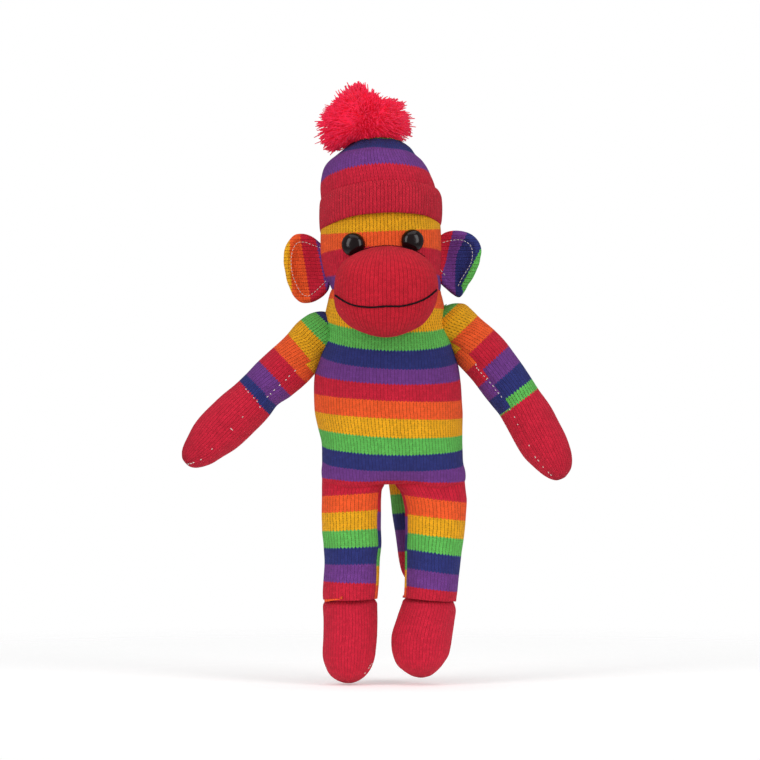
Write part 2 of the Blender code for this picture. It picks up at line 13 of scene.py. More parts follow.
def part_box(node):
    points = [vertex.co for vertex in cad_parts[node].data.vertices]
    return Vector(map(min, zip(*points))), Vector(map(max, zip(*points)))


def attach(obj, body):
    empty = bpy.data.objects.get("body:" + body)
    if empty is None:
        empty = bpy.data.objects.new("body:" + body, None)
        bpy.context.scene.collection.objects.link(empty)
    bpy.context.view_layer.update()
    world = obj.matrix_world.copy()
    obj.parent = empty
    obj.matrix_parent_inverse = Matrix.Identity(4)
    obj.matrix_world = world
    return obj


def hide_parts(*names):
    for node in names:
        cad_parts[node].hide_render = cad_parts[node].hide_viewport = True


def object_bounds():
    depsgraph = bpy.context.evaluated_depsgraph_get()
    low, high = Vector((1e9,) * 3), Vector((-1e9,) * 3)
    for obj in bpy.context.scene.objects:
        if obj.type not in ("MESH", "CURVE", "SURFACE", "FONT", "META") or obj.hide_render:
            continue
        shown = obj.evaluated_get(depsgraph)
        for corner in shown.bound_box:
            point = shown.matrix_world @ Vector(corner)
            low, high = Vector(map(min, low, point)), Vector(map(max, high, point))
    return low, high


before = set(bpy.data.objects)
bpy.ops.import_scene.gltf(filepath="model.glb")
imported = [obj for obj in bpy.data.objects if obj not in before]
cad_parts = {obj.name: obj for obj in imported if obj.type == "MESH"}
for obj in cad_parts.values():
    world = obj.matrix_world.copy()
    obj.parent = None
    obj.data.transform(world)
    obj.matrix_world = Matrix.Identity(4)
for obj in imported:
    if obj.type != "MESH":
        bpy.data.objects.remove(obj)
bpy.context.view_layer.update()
print("frame loaded")

# metre is metres in a pixel, midX and midY the origin's pixel, lens the pixel that the camera stands before,
# away its distance in mm, bodyY the body's axis
photo = {"size": 760, "metre": 0.000674, "midX": 388.0, "midY": 400.0, "bodyY": -0.0345, "lens": 380.0,
         "away": 3000.0}
mm = 0.001


# what the picture shows at x, y, where it lies depth mm nearer than the body's axis
def spot(x, y, depth=0.0):
    nearer = 1 - depth / photo["away"]
    x, y = photo["lens"] + (x - photo["lens"]) * nearer, photo["lens"] + (y - photo["lens"]) * nearer
    return np.array([(x - photo["midX"]) * photo["metre"], photo["bodyY"] - depth * mm,
                     (photo["midY"] - y) * photo["metre"]])


def smoothCurve(keys, values, at):  # monotone cubic through the values
    keys = np.asarray(keys, float)
    values = np.asarray(values, float).reshape(len(keys), -1)
    step = np.diff(keys)[:, None]
    slope = np.diff(values, axis=0) / step
    tangent = np.zeros_like(values)
    both = slope[:-1] * slope[1:]
    total = slope[:-1] + slope[1:]
    safe = np.where(np.abs(total) < 1e-12, 1.0, total)
    tangent[1:-1] = np.where(both > 0, 2 * both / safe, 0.0)
    tangent[0], tangent[-1] = slope[0], slope[-1]
    at = np.clip(np.asarray(at, float), keys[0], keys[-1])
    i = np.clip(np.searchsorted(keys, at, side="right") - 1, 0, len(keys) - 2)
    h = step[i]
    t = ((at - keys[i]) / h[:, 0])[:, None]
    return ((2 * t**3 - 3 * t**2 + 1) * values[i] + (t**3 - 2 * t**2 + t) * h * tangent[i]
            + (-2 * t**3 + 3 * t**2) * values[i + 1] + (t**3 - t**2) * h * tangent[i + 1])


# forms
def loftGrid(rings, rows, columns, seam=180.0, keep=None):
    # a ring is (left place, right place, front mm, back mm, stripe, rise mm, squareness)
    # seam is where the columns start, in degrees from the front, or a list of (stripe, degrees)
    # keep is the ring that a row falls on exactly
    left = np.array([r[0] for r in rings])
    right = np.array([r[1] for r in rings])
    more = np.array([tuple(r[2:]) + (0.0, 2.0)[len(r) - 5:] for r in rings], float)
    half = (right - left) / 2
    middle = (right + left) / 2
    size = np.linalg.norm(half, axis=1)
    keys = np.concatenate([[0], np.cumsum(np.hypot(np.linalg.norm(np.diff(middle, axis=0), axis=1),
                                                   np.diff(size)))])
    at = np.linspace(0, keys[-1], rows)
    if keep is not None:
        at[np.argmin(np.abs(at - keys[keep]))] = keys[keep]
    every = smoothCurve(keys, np.hstack([middle, half, more]), at)
    stripe = np.interp(at, keys, more[:, 2])
    turns = seam if hasattr(seam, "__len__") else [(0, seam), (1, seam)]
    begin = np.interp(stripe, [s[0] for s in turns], [s[1] for s in turns])
    angle = np.radians(begin)[:, None] + 2 * np.pi * np.arange(columns)[None, :] / columns
    power = 2.0 / every[:, 10:11]
    across = np.sign(np.sin(angle)) * np.abs(np.sin(angle)) ** power
    ahead = np.sign(np.cos(angle)) * np.abs(np.cos(angle)) ** power
    points = every[:, None, 0:3] + every[:, None, 3:6] * across[:, :, None]
    points[:, :, 1] -= np.where(ahead > 0, every[:, 6:7], every[:, 7:8]) * ahead * mm
    points[:, :, 2] += every[:, 9:10] * ahead * mm
    return points, np.repeat(stripe[:, None], columns, axis=1), angle


def gridMesh(name, points, stripe, wales, jog=None, poles=True, wrapRows=False, strip=None):
    # a closed form from rows of points, with the knit's own map: wales across, stripes along
    # jog is how far the stripes have slipped beyond the seam, on one side of it and above one stripe
    rows, columns = points.shape[:2]
    verts = [tuple(p) for p in points.reshape(-1, 3)]
    faces, maps = [], []
    step = np.linalg.norm(np.roll(points, -1, axis=1) - points, axis=2)
    across = np.hstack([np.zeros((rows, 1)), np.cumsum(step, axis=1)])
    across /= np.maximum(across[:, -1:], 1e-9)
    turn = np.zeros((rows, columns + 1))
    if jog:
        # the slip fades out between a fifth and a half of the way round
        past = np.clip(((across if jog["side"] > 0 else 1 - across) - 0.2) / 0.3, 0, 1)
        slip = np.interp(stripe[:, :1], [s[0] for s in jog["slip"]], [s[1] for s in jog["slip"]])
        turn = slip * (1 - past * past * (3 - 2 * past))

    def corner(i, j, face, slipped=True):
        v = stripe[i, j % columns] + (turn[i, j] if slipped else 0.0)
        if strip and strip["from"] <= face / columns < strip["to"]:
            v = strip["mirror"] - v  # a strip of cloth sewn in the other way up
        return (across[i, j] * wales, v)

    for i in range(rows if wrapRows else rows - 1):
        n = (i + 1) % rows
        slipped = bool(jog) and (stripe[i, 0] + stripe[n, 0]) / 2 > jog["from"]
        for j in range(columns):
            k = (j + 1) % columns
            faces.append((i * columns + j, i * columns + k, n * columns + k, n * columns + j))
            maps.append((corner(i, j, j, slipped), corner(i, j + 1, j, slipped), corner(n, j + 1, j, slipped),
                         corner(n, j, j, slipped)))
    if poles:
        for i, away in ((0, 1), (rows - 1, rows - 2)):
            middle = points[i].mean(axis=0)
            middle += (middle - points[away].mean(axis=0)) * 0.2
            verts.append(tuple(middle))
            for j in range(columns):
                k = (j + 1) % columns
                faces.append((i * columns + k, i * columns + j, len(verts) - 1))
                mid = (corner(i, j, j)[0] + corner(i, j + 1, j)[0]) / 2
                maps.append((corner(i, j + 1, j), corner(i, j, j), (mid, corner(i, j, j)[1])))
    return meshObject(name, verts, faces, maps)


def meshObject(name, verts, faces, maps=None):
    mesh = bpy.data.meshes.new(name)
    mesh.from_pydata([tuple(v) for v in verts], [], faces)
    if maps is not None:
        layer = mesh.uv_layers.new(name="knit")
        flat = np.array([c for face in maps for c in face], np.float32)
        layer.uv.foreach_set("vector", flat.ravel())
    mesh.update()
    work = bmesh.new()
    work.from_mesh(mesh)
    bmesh.ops.recalc_face_normals(work, faces=work.faces)
    work.to_mesh(mesh)
    work.free()
    mesh.polygons.foreach_set("use_smooth", [True] * len(mesh.polygons))
    piece = bpy.data.objects.new(name, mesh)
    bpy.context.scene.collection.objects.link(piece)
    return piece


def places(piece):
    found = np.zeros(len(piece.data.vertices) * 3)
    piece.data.vertices.foreach_get("co", found)
    return found.reshape(-1, 3)


def normalsOf(piece):
    found = np.zeros(len(piece.data.vertices) * 3)
    piece.data.vertices.foreach_get("normal", found)
    return found.reshape(-1, 3)


def setPlaces(piece, points):
    piece.data.vertices.foreach_set("co", np.asarray(points, np.float64).ravel())
    piece.data.update()


def applyModifiers(piece):
    seen = bpy.context.evaluated_depsgraph_get()
    seen.update()
    mesh = bpy.data.meshes.new_from_object(piece.evaluated_get(seen))
    piece.modifiers.clear()
    old = piece.data
    piece.data = mesh
    bpy.data.meshes.remove(old)


def lumps(piece, size, depth, seed):  # the soft unevenness of hand stuffing
    points, out = places(piece), normalsOf(piece)
    shift = Vector((seed * 3.1, seed * 1.7, seed * 0.9))
    rise = [noise.noise(Vector(p) / size + shift) for p in points]
    setPlaces(piece, points + out * np.array(rise)[:, None] * depth)


stuffing = {"pressure": 4.0, "frames": 20, "quality": 4, "cap": 1.3 * mm, "even": 4}


def stuff(piece):  # blows the skin up against its seams, then keeps the evened-out swelling
    start, out = places(piece), normalsOf(piece)
    cloth = piece.modifiers.new("stuffing", "CLOTH")
    cloth.settings.use_pressure = True
    cloth.settings.uniform_pressure_force = stuffing["pressure"]
    cloth.settings.effector_weights.gravity = 0.0
    cloth.settings.quality = stuffing["quality"]
    cloth.point_cache.frame_start = 1
    cloth.point_cache.frame_end = stuffing["frames"]
    for f in range(1, stuffing["frames"] + 1):
        bpy.context.scene.frame_set(f)
    seen = bpy.context.evaluated_depsgraph_get()
    rise = np.sum((places(piece.evaluated_get(seen)) - start) * out, axis=1)
    piece.modifiers.clear()
    ends = np.zeros(len(piece.data.edges) * 2, np.int32)
    piece.data.edges.foreach_get("vertices", ends)
    ends = ends.reshape(-1, 2)
    count = np.bincount(ends.ravel(), minlength=len(rise))
    rise = np.clip(rise - np.median(rise), -stuffing["cap"], stuffing["cap"])
    for _ in range(stuffing["even"]):
        near = np.bincount(ends[:, 0], rise[ends[:, 1]], len(rise))
        near += np.bincount(ends[:, 1], rise[ends[:, 0]], len(rise))
        rise = (rise + near / np.maximum(count, 1)) / 2
    print(piece.name, "swells from %.2f to %.2f mm" % (rise.min() / mm, rise.max() / mm))
    setPlaces(piece, start + out * rise[:, None])
    bpy.context.scene.frame_set(1)


def refine(piece, levels=1):
    smooth = piece.modifiers.new("smooth", "SUBSURF")
    smooth.levels = smooth.render_levels = levels
    applyModifiers(piece)


def treeOf(*pieces):
    verts, faces = [], []
    for piece in pieces:
        base = len(verts)
        verts += [v.co.copy() for v in piece.data.vertices]
        faces += [[base + i for i in p.vertices] for p in piece.data.polygons]
    return BVHTree.FromPolygons(verts, faces)


def onFront(tree, x, y):  # the place on a form that the picture shows at x, y
    near, far = Vector(spot(x, y, 300)), Vector(spot(x, y, -100))
    hit, normal, _, _ = tree.ray_cast(near, (far - near).normalized())
    if hit is None:
        hit, normal, _, _ = tree.find_nearest(Vector(spot(x, y, 60)))
    return np.array(hit), np.array(normal)


def ringFaces(rings, columns, base=0):  # the sides of a form made of rings of points, and its two flat ends
    faces = []
    for i in range(rings - 1):
        low = base + i * columns
        for k in range(columns):
            n = (k + 1) % columns
            faces.append((low + k, low + n, low + columns + n, low + columns + k))
    return faces + [tuple(range(end, end + columns)) for end in (base, base + (rings - 1) * columns)]


def tubes(name, strokes, radius, sides=6, taper=0.6):
    # round threads along lists of points; radius may be one number or one for each stroke
    verts, faces = [], []
    for s, stroke in enumerate(strokes):
        stroke = np.asarray(stroke, float)
        thick = radius[s] if hasattr(radius, "__len__") else radius
        along = np.gradient(stroke, axis=0)
        along /= np.maximum(np.linalg.norm(along, axis=1, keepdims=True), 1e-12)
        guide = np.array([0.0, 0.0, 1.0]) if abs(along[0][2]) < 0.9 else np.array([1.0, 0.0, 0.0])
        faces += ringFaces(len(stroke), sides, len(verts))
        for i, (p, d) in enumerate(zip(stroke, along)):
            side = np.cross(d, guide)
            side /= max(np.linalg.norm(side), 1e-12)
            guide = np.cross(side, d)
            wide = thick * (taper if i in (0, len(stroke) - 1) else 1.0)
            for k in range(sides):
                a = 2 * math.pi * k / sides
                verts.append(p + (side * math.cos(a) + guide * math.sin(a)) * wide)
    return meshObject(name, verts, faces)


def resample(path, pitch):
    path = np.asarray(path, float)
    steps = np.concatenate([[0], np.cumsum(np.linalg.norm(np.diff(path, axis=0), axis=1))])
    count = max(2, int(round(steps[-1] / pitch)) + 1)
    at = np.linspace(0, steps[-1], count)
    return smoothCurve(steps, path, at)


def stitchRun(path, tree, pitch, length, lift, sink=0.0002):
    # a row of short stitches that dip into the cloth at both ends
    fine = resample(path, pitch)
    strokes = []
    for a, b in zip(fine[:-1], fine[1:]):
        stroke = []
        for t, up in ((0, -sink), (0.18, lift * 0.7), (0.5, lift), (0.82, lift * 0.7), (1, -sink)):
            p = a + (b - a) * t * length
            hit, normal, _, _ = tree.find_nearest(Vector(p))
            stroke.append(np.array(hit) + np.array(normal) * up)
        strokes.append(stroke)
    return strokes


def smallStitches(tree, marks, lift=0.0003):
    # (x, y, length) in pixels of the picture, with True after them where a stitch lies across the seam
    strokes = []
    for k, (x, y, length, *cross) in enumerate(marks):
        before, after = marks[max(k - 1, 0)], marks[min(k + 1, len(marks) - 1)]
        way = np.array([after[0] - before[0], after[1] - before[1]])
        way = way / np.hypot(*way) * length / 2
        if cross:
            way = np.array([-way[1], way[0]])
        stroke = []
        for t, up in ((-1, -lift), (-0.5, lift), (0, lift * 1.3), (0.5, lift), (1, -lift)):
            hit, normal = onFront(tree, x + way[0] * t, y + way[1] * t)
            stroke.append(hit + normal * up)
        strokes.append(stroke)
    return strokes


def reachAround(outline, centre, count):  # how far a closed outline lies from its middle, at even turns
    edge = np.array(outline) - centre
    turn = np.arctan2(edge[:, 0], edge[:, 1])
    order = np.argsort(turn)
    turn, far = turn[order], np.hypot(edge[:, 0], edge[:, 1])[order]
    turn = np.concatenate([turn[-2:] - 2 * np.pi, turn, turn[:2] + 2 * np.pi])
    far = np.concatenate([far[-2:], far, far[:2]])
    angle = -np.pi + 2 * np.pi * np.arange(count) / count
    return angle, smoothCurve(turn, far, angle)[:, 0]


def sectionKeys(section, wide, deep):  # distance along a section whose shares stand for wide and deep mm
    steps = np.diff(section, axis=0) * (wide, deep)
    return np.concatenate([[0], np.cumsum(np.hypot(steps[:, 0], steps[:, 1]))])


def setKnitMap(piece, wale, stripe):  # the knit's own map, from one pair of numbers at each vertex
    index = np.zeros(len(piece.data.loops), np.int32)
    piece.data.loops.foreach_get("vertex_index", index)
    knitMap = np.stack([wale[index], stripe[index]], axis=1).astype(np.float32)
    piece.data.uv_layers["knit"].uv.foreach_set("vector", knitMap.ravel())


# materials
def linear(colour):
    return tuple((c / 12.92 if c <= 0.04045 else ((c + 0.055) / 1.055) ** 2.4)
                 for c in (v / 255 for v in colour)) + (1.0,)


# gap is the painted shade that shows in the holes between stitches
clothColours = {
    "red": (210, 37, 61), "orange": (255, 98, 46), "yellow": (250, 179, 32),
    "green": (102, 198, 92), "blue": (49, 56, 122), "purple": (117, 63, 143),
    "muzzleRed": (207, 34, 52), "handRed": (212, 37, 62), "cuffRed": (221, 42, 64), "gap": (70, 24, 14),
}
# how strongly the painted shade in the gaps between stitches shows, for each colour
gapShare = {"yellow": 1.0, "green": 0.95, "orange": 0.6, "cuffRed": 0.4, "muzzleRed": 0.3, "other": 0.22}


def newSocket(group, name, direction, kind, value=None):
    made = group.interface.new_socket(name=name, in_out=direction, socket_type=kind)
    if value is not None:
        made.default_value = value


def maths(tree, operation, first, second=None, third=None):
    node = tree.nodes.new("ShaderNodeMath")
    node.operation = operation
    for i, value in enumerate((first, second, third)):
        if value is None:
            continue
        if isinstance(value, (int, float)):
            node.inputs[i].default_value = value
        else:
            tree.links.new(value, node.inputs[i])
    return node.outputs[0]


def sums(tree):  # short names for the commonest maths nodes of one node tree
    return [partial(maths, tree, kind) for kind in ("ADD", "SUBTRACT", "MULTIPLY", "DIVIDE")]


# one stitch, in shares of a wale's or a course's width
stitchShape = {"wanderAcross": 0.35, "wanderAlong": 2.2, "wander": 0.5, "tuck": 0.8, "strandAt": 0.21,
               "strandHalf": 0.29,
               "gapFrom": 0.24, "gapEdge": 6.0, "gapEnds": 0.1, "gapFade": 2.2, "everyOther": 0.8,
               "shadeLow": 0.67,
               "shadeRise": 0.4, "shadeSpread": 0.2}


def buildKnitGroup():  # stocking stitch: columns of small V stitches, with painted shade in the grooves between strands and in the gaps between stitches
    group = bpy.data.node_groups.new("knitStitch", "ShaderNodeTree")
    for name, value in (("Wale", 0.0), ("Stripe", 0.0), ("Courses", 8.0), ("Slant", 1.5)):
        newSocket(group, name, "INPUT", "NodeSocketFloat", value)
    for name in ("Row", "Height", "Shade", "Gap"):
        newSocket(group, name, "OUTPUT", "NodeSocketFloat")
    start = group.nodes.new("NodeGroupInput")
    end = group.nodes.new("NodeGroupOutput")
    add, less, times, over = sums(group)
    shape = stitchShape
    wale, stripe = start.outputs["Wale"], start.outputs["Stripe"]
    courses, slant = start.outputs["Courses"], start.outputs["Slant"]
    place = group.nodes.new("ShaderNodeCombineXYZ")
    group.links.new(times(wale, shape["wanderAcross"]), place.inputs[0])
    group.links.new(times(stripe, shape["wanderAlong"]), place.inputs[1])
    wander = group.nodes.new("ShaderNodeTexNoise")
    wander.inputs["Scale"].default_value = 1.0
    wander.inputs["Detail"].default_value = 2.0
    group.links.new(place.outputs[0], wander.inputs["Vector"])
    drift = times(less(wander.outputs[0], 0.5), shape["wander"])  # hand-knit wander
    waleMoved = add(wale, drift)
    off = maths(group, "ABSOLUTE", less(maths(group, "FRACT", waleMoved), 0.5))  # from the middle of the wale
    course = add(add(times(stripe, courses), times(off, slant)), times(drift, shape["tuck"]))
    along = less(times(maths(group, "FRACT", course), 2.0), 1.0)
    bead = less(1.0, times(along, along))
    across = over(less(off, shape["strandAt"]), shape["strandHalf"])
    strand = less(1.0, times(across, across))
    height = times(strand, add(times(bead, 0.5), 0.5))
    # gap marks the holes between stitches, where painted shade is laid in the cloth's material
    edge = maths(group, "SMOOTH_MIN", times(less(off, shape["gapFrom"]), shape["gapEdge"]), 1.0, 0.2)
    edge = maths(group, "MAXIMUM", edge, 0.0)
    ends = times(less(less(1.0, bead), shape["gapEnds"]), shape["gapFade"])
    ends = maths(group, "MINIMUM", maths(group, "MAXIMUM", ends, 0.0), 1.0)
    odd = add(maths(group, "FLOOR", add(wale, 0.5)), maths(group, "FLOOR", course))
    odd = maths(group, "ABSOLUTE", maths(group, "MODULO", odd, 2.0))  # every other gap is pulled wider
    gap = times(times(edge, ends), less(1.0, times(odd, shape["everyOther"])))
    cell = group.nodes.new("ShaderNodeCombineXYZ")
    group.links.new(maths(group, "FLOOR", waleMoved), cell.inputs[0])
    group.links.new(maths(group, "FLOOR", course), cell.inputs[1])
    stitch = group.nodes.new("ShaderNodeTexWhiteNoise")
    group.links.new(cell.outputs[0], stitch.inputs["Vector"])
    # painted shade: darker in the grooves between strands and at the ends of each stitch, with a random tone
    # for each stitch on top
    shade = add(times(height, shape["shadeRise"]), shape["shadeLow"])
    shade = add(shade, times(less(stitch.outputs[0], 0.5), shape["shadeSpread"]))
    row = over(maths(group, "FLOOR", course), courses)
    for name, value in (("Row", row), ("Height", height), ("Shade", shade), ("Gap", gap)):
        group.links.new(value, end.inputs[name])
    return group


def buildFuzzGroup():  # loose fibres and faint unevenness of dye, for cloth, yarn and thread
    group = bpy.data.node_groups.new("fibreFuzz", "ShaderNodeTree")
    newSocket(group, "Place", "INPUT", "NodeSocketVector")
    newSocket(group, "Fine", "INPUT", "NodeSocketFloat", 2400.0)
    newSocket(group, "Broad", "INPUT", "NodeSocketFloat", 55.0)
    for name in ("Tone", "Fibre"):
        newSocket(group, name, "OUTPUT", "NodeSocketFloat")
    start = group.nodes.new("NodeGroupInput")
    end = group.nodes.new("NodeGroupOutput")
    for scale, out in (("Broad", "Tone"), ("Fine", "Fibre")):
        grain = group.nodes.new("ShaderNodeTexNoise")
        grain.inputs["Detail"].default_value = 3.0
        group.links.new(start.outputs["Place"], grain.inputs["Vector"])
        group.links.new(start.outputs[scale], grain.inputs["Scale"])
        group.links.new(grain.outputs[0], end.inputs[out])
    return group


knitGroup, fuzzGroup = buildKnitGroup(), buildFuzzGroup()


def startMaterial(name, roughness, sheen=0.0, specular=0.12):
    material = bpy.data.materials.new(name)
    material.use_nodes = True
    shader = material.node_tree.nodes["Principled BSDF"]
    shader.inputs["Roughness"].default_value = roughness
    shader.inputs["Specular IOR Level"].default_value = specular
    shader.inputs["Sheen Weight"].default_value = sheen
    shader.inputs["Sheen Roughness"].default_value = 0.5
    return material, material.node_tree, shader


def fuzzNode(tree, fine, broad):
    place = tree.nodes.new("ShaderNodeTexCoord")
    fuzz = tree.nodes.new("ShaderNodeGroup")
    fuzz.node_tree = fuzzGroup
    fuzz.inputs["Fine"].default_value = fine
    fuzz.inputs["Broad"].default_value = broad
    tree.links.new(place.outputs["Object"], fuzz.inputs["Place"])
    return fuzz


def scaled(tree, colour, factor):  # a colour times a grey value
    node = tree.nodes.new("ShaderNodeVectorMath")
    node.operation = "SCALE"
    tree.links.new(colour, node.inputs[0])
    tree.links.new(factor, node.inputs["Scale"])
    return node.outputs[0]


def bumped(tree, shader, height, depth):
    bump = tree.nodes.new("ShaderNodeBump")
    bump.inputs["Distance"].default_value = depth
    bump.inputs["Strength"].default_value = 1.0
    tree.links.new(height, bump.inputs["Height"])
    tree.links.new(bump.outputs["Normal"], shader.inputs["Normal"])


# tone and fibre are (spread, lowest) of the shade; fine and broad are the sizes of the fibres and of the
# dye's clouds
clothLook = {"courses": 8.0, "roughness": 0.9, "sheen": 0.03, "tone": (0.24, 0.88), "fibre": (0.3, 0.86),
             "fibreRise": 0.25, "fine": 2400.0, "broad": 55.0}


def knitMaterial(name, stripes, depth=0.0005, slant=1.5, gapDark=0.95):
    # stripes are (where the colour starts, its name), lowest first
    material, tree, shader = startMaterial(name, clothLook["roughness"], sheen=clothLook["sheen"])
    add, less, times, over = sums(tree)
    cloth = tree.nodes.new("ShaderNodeUVMap")
    cloth.uv_map = "knit"
    parts = tree.nodes.new("ShaderNodeSeparateXYZ")
    tree.links.new(cloth.outputs[0], parts.inputs[0])
    knit = tree.nodes.new("ShaderNodeGroup")
    knit.node_tree = knitGroup
    knit.inputs["Courses"].default_value = clothLook["courses"]
    knit.inputs["Slant"].default_value = slant
    tree.links.new(parts.outputs[0], knit.inputs["Wale"])
    tree.links.new(parts.outputs[1], knit.inputs["Stripe"])
    low = stripes[0][0]
    span = stripes[-1][0] - low + 1.0
    ramp = tree.nodes.new("ShaderNodeValToRGB")
    ramp.color_ramp.interpolation = "CONSTANT"
    marks = ramp.color_ramp.elements
    for i, (begin, colour) in enumerate(stripes):
        mark = marks[i] if i < 2 else marks.new(0.999)
        mark.position = (begin - low) / span
        mark.color = linear(clothColours[colour])[:3] + (gapShare.get(colour, gapShare["other"]),)
    tree.links.new(over(less(add(knit.outputs["Row"], 0.001), low), span), ramp.inputs[0])
    fuzz = fuzzNode(tree, clothLook["fine"], clothLook["broad"])
    tone = add(times(fuzz.outputs["Tone"], clothLook["tone"][0]), clothLook["tone"][1])
    fibre = add(times(fuzz.outputs["Fibre"], clothLook["fibre"][0]), clothLook["fibre"][1])
    # the stitches' painted shade in the grooves darkens the dye's tone
    tone = times(times(tone, knit.outputs["Shade"]), fibre)
    # painted shade in the holes between stitches: the dark gap colour mixed over the cloth
    holeShade = tree.nodes.new("ShaderNodeMix")
    holeShade.data_type = "RGBA"
    tree.links.new(times(knit.outputs["Gap"], times(ramp.outputs["Alpha"], gapDark)), holeShade.inputs["Factor"])
    tree.links.new(scaled(tree, ramp.outputs[0], tone), holeShade.inputs["A"])
    holeShade.inputs["B"].default_value = linear(clothColours["gap"])
    tree.links.new(holeShade.outputs["Result"], shader.inputs["Base Color"])
    bumped(tree, shader, add(knit.outputs["Height"], times(fuzz.outputs["Fibre"], clothLook["fibreRise"])),
           depth)
    return material


def tintFrom(tree, value, marks):  # a colour ramp with two marks, (position, colour)
    tint = tree.nodes.new("ShaderNodeValToRGB")
    for element, (position, colour) in zip(tint.color_ramp.elements, marks):
        element.position, element.color = position, colour
    tree.links.new(value, tint.inputs[0])
    return tint.outputs[0]


def darker(colour, share):
    return tuple(c * (1 - share) for c in linear(colour)[:3]) + (1.0,)


def yarnMaterial(name, colour, fine=1600.0, depth=0.0002, sheen=0.25, spread=0.5, glow=0.0):
    material, tree, shader = startMaterial(name, 0.85, sheen=sheen)
    add, less, times, over = sums(tree)
    shader.inputs["Emission Color"].default_value = linear(colour)  # painted glow in the yarn's own colour that brightens it, standing in for light scattered through loose yarn
    shader.inputs["Emission Strength"].default_value = glow
    fuzz = fuzzNode(tree, fine, 160.0)
    mixed = add(times(fuzz.outputs["Tone"], 0.6), times(fuzz.outputs["Fibre"], 0.4))
    tint = tintFrom(tree, mixed, ((0.3, darker(colour, spread)), (0.62, linear(colour))))
    tree.links.new(tint, shader.inputs["Base Color"])
    bumped(tree, shader, fuzz.outputs["Fibre"], depth)
    return material


def plasticMaterial(name, colour, roughness, marks):  # marks is how much fine wear changes the roughness
    material, tree, shader = startMaterial(name, roughness, specular=0.32)
    add, less, times, over = sums(tree)
    fuzz = fuzzNode(tree, 900.0, 220.0)
    tree.links.new(add(times(fuzz.outputs["Fibre"], marks), roughness - marks / 2),
                   shader.inputs["Roughness"])
    tint = tintFrom(tree, fuzz.outputs["Tone"], ((0.0, darker(colour, 0.25)), (1.0, linear(colour))))
    tree.links.new(tint, shader.inputs["Base Color"])
    bumped(tree, shader, fuzz.outputs["Fibre"], 0.00002)
    return material


def colourRun(first, names):  # (stripe number, colour) for colours that follow each other from one stripe on
    return [(float(first + i), name) for i, name in enumerate(names.split())]


def oneColour(name, first, last):
    return [(first, name), ((first + last) / 2, name), (last, name)]


allSix = "red orange yellow green blue purple "
cloths = {
    "torso": knitMaterial("torsoKnit", colourRun(0, allSix * 2 + "red red")[:14]),
    "head": knitMaterial("headKnit", colourRun(-1, "purple red orange yellow") + [(4.0, "green")]),
    "muzzle": knitMaterial("muzzleKnit", oneColour("muzzleRed", -30.0, 30.0)),
    "crown": knitMaterial("crownKnit", [(2.6, "green")] + colourRun(4, "blue purple red") + [(9.0, "red")]),
    "cuff": knitMaterial("cuffRib", [(0.0, "cuffRed"), (1.0, "cuffRed"), (3.0, "cuffRed")], depth=0.0009),
    "armRight": knitMaterial("armRightKnit", [(-12.0, "handRed"), (-1.5, "blue")]
                             + colourRun(-1, "purple red orange yellow green blue")),
    "armLeft": knitMaterial("armLeftKnit", [(-12.0, "handRed"), (-2.5, "green")]
                            + colourRun(-2, "blue purple red orange yellow green")),
    "leg": knitMaterial("legKnit", [(9.0, "red")] + colourRun(13, "orange yellow green blue purple red")
                        + [(19.5, "red")]),
    "foot": knitMaterial("footKnit", oneColour("handRed", -30.0, 30.0)),
    "tail": knitMaterial("tailKnit", colourRun(0, allSix + "red red yellow green")),
    "earRight": knitMaterial("earRightKnit", [(-3.0, "yellow")] + colourRun(1, "orange red purple"),
                             slant=1.1, gapDark=0.6),
    "earLeft": knitMaterial("earLeftKnit", [(-3.0, "red")] + colourRun(1, "purple blue green"),
                            slant=1.1, gapDark=0.6),
    "collar": knitMaterial("collarKnit", oneColour("orange", 0.0, 2.0)),
}
whiteThread = yarnMaterial("whiteThread", (238, 232, 222), fine=3000.0, depth=0.00008, spread=0.25)
blackThread = yarnMaterial("blackThread", (30, 14, 20), fine=3000.0, depth=0.00008, sheen=0.0)
# the red yarn's glow is painted light that brightens the pompom
redYarn = yarnMaterial("redYarn", (255, 44, 84), fine=1500.0, spread=0.3, sheen=0.1, glow=0.13)
greenYarn = yarnMaterial("greenYarn", (88, 120, 40), fine=1500.0)
eyePlastic = plasticMaterial("eyePlastic", (22, 9, 12), 0.17, 0.05)
washerPlastic = plasticMaterial("washerPlastic", (214, 212, 204), 0.45, 0.2)
print("materials made")


def dress(piece, cloth, body, *nodes, fill=None, slot=None):
    piece.data.materials.clear()
    piece.data.materials.append(cloth)
    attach(piece, body)
    if nodes:
        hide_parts(*nodes)


def domeRings(x, y, radius, angles, ahead, stripes, deep=1.0):
    # rings of a ball end; ahead is the limb's direction in the picture, radius in pixels
    ahead = np.array(ahead, float) / np.hypot(*ahead)
    side = np.array([-ahead[1], ahead[0]])
    if side[0] < 0:
        side = -side
    rings = []
    for a, s in zip(angles, stripes):
        back, wide = math.cos(math.radians(a)) * radius, math.sin(math.radians(a)) * radius
        c = np.array([x, y]) - ahead * back
        low, high = c - side * wide, c + side * wide
        depth = wide * photo["metre"] / mm * deep
        rings.append((spot(*low), spot(*high), depth, depth, s))
    return rings


def edgeRings(edges, depthOf):
    # rings across a limb from rows of x, y, x, y, stripe; depthOf gives the depth in mm from half width
    # and height
    rings = []
    for x1, y1, x2, y2, stripe in edges:
        first, second = sorted([(x1, y1), (x2, y2)])
        half = math.hypot(x2 - x1, y2 - y1) / 2 * photo["metre"] / mm
        depth = depthOf(half, (y1 + y2) / 2)
        rings.append((spot(*first), spot(*second), depth, depth, stripe))
    return rings


def bandRings(rows):  # (left x, left y, right x, right y, front, back, stripe, rise)
    return [(spot(r[0], r[1]), spot(r[2], r[3])) + tuple(r[4:]) for r in rows]


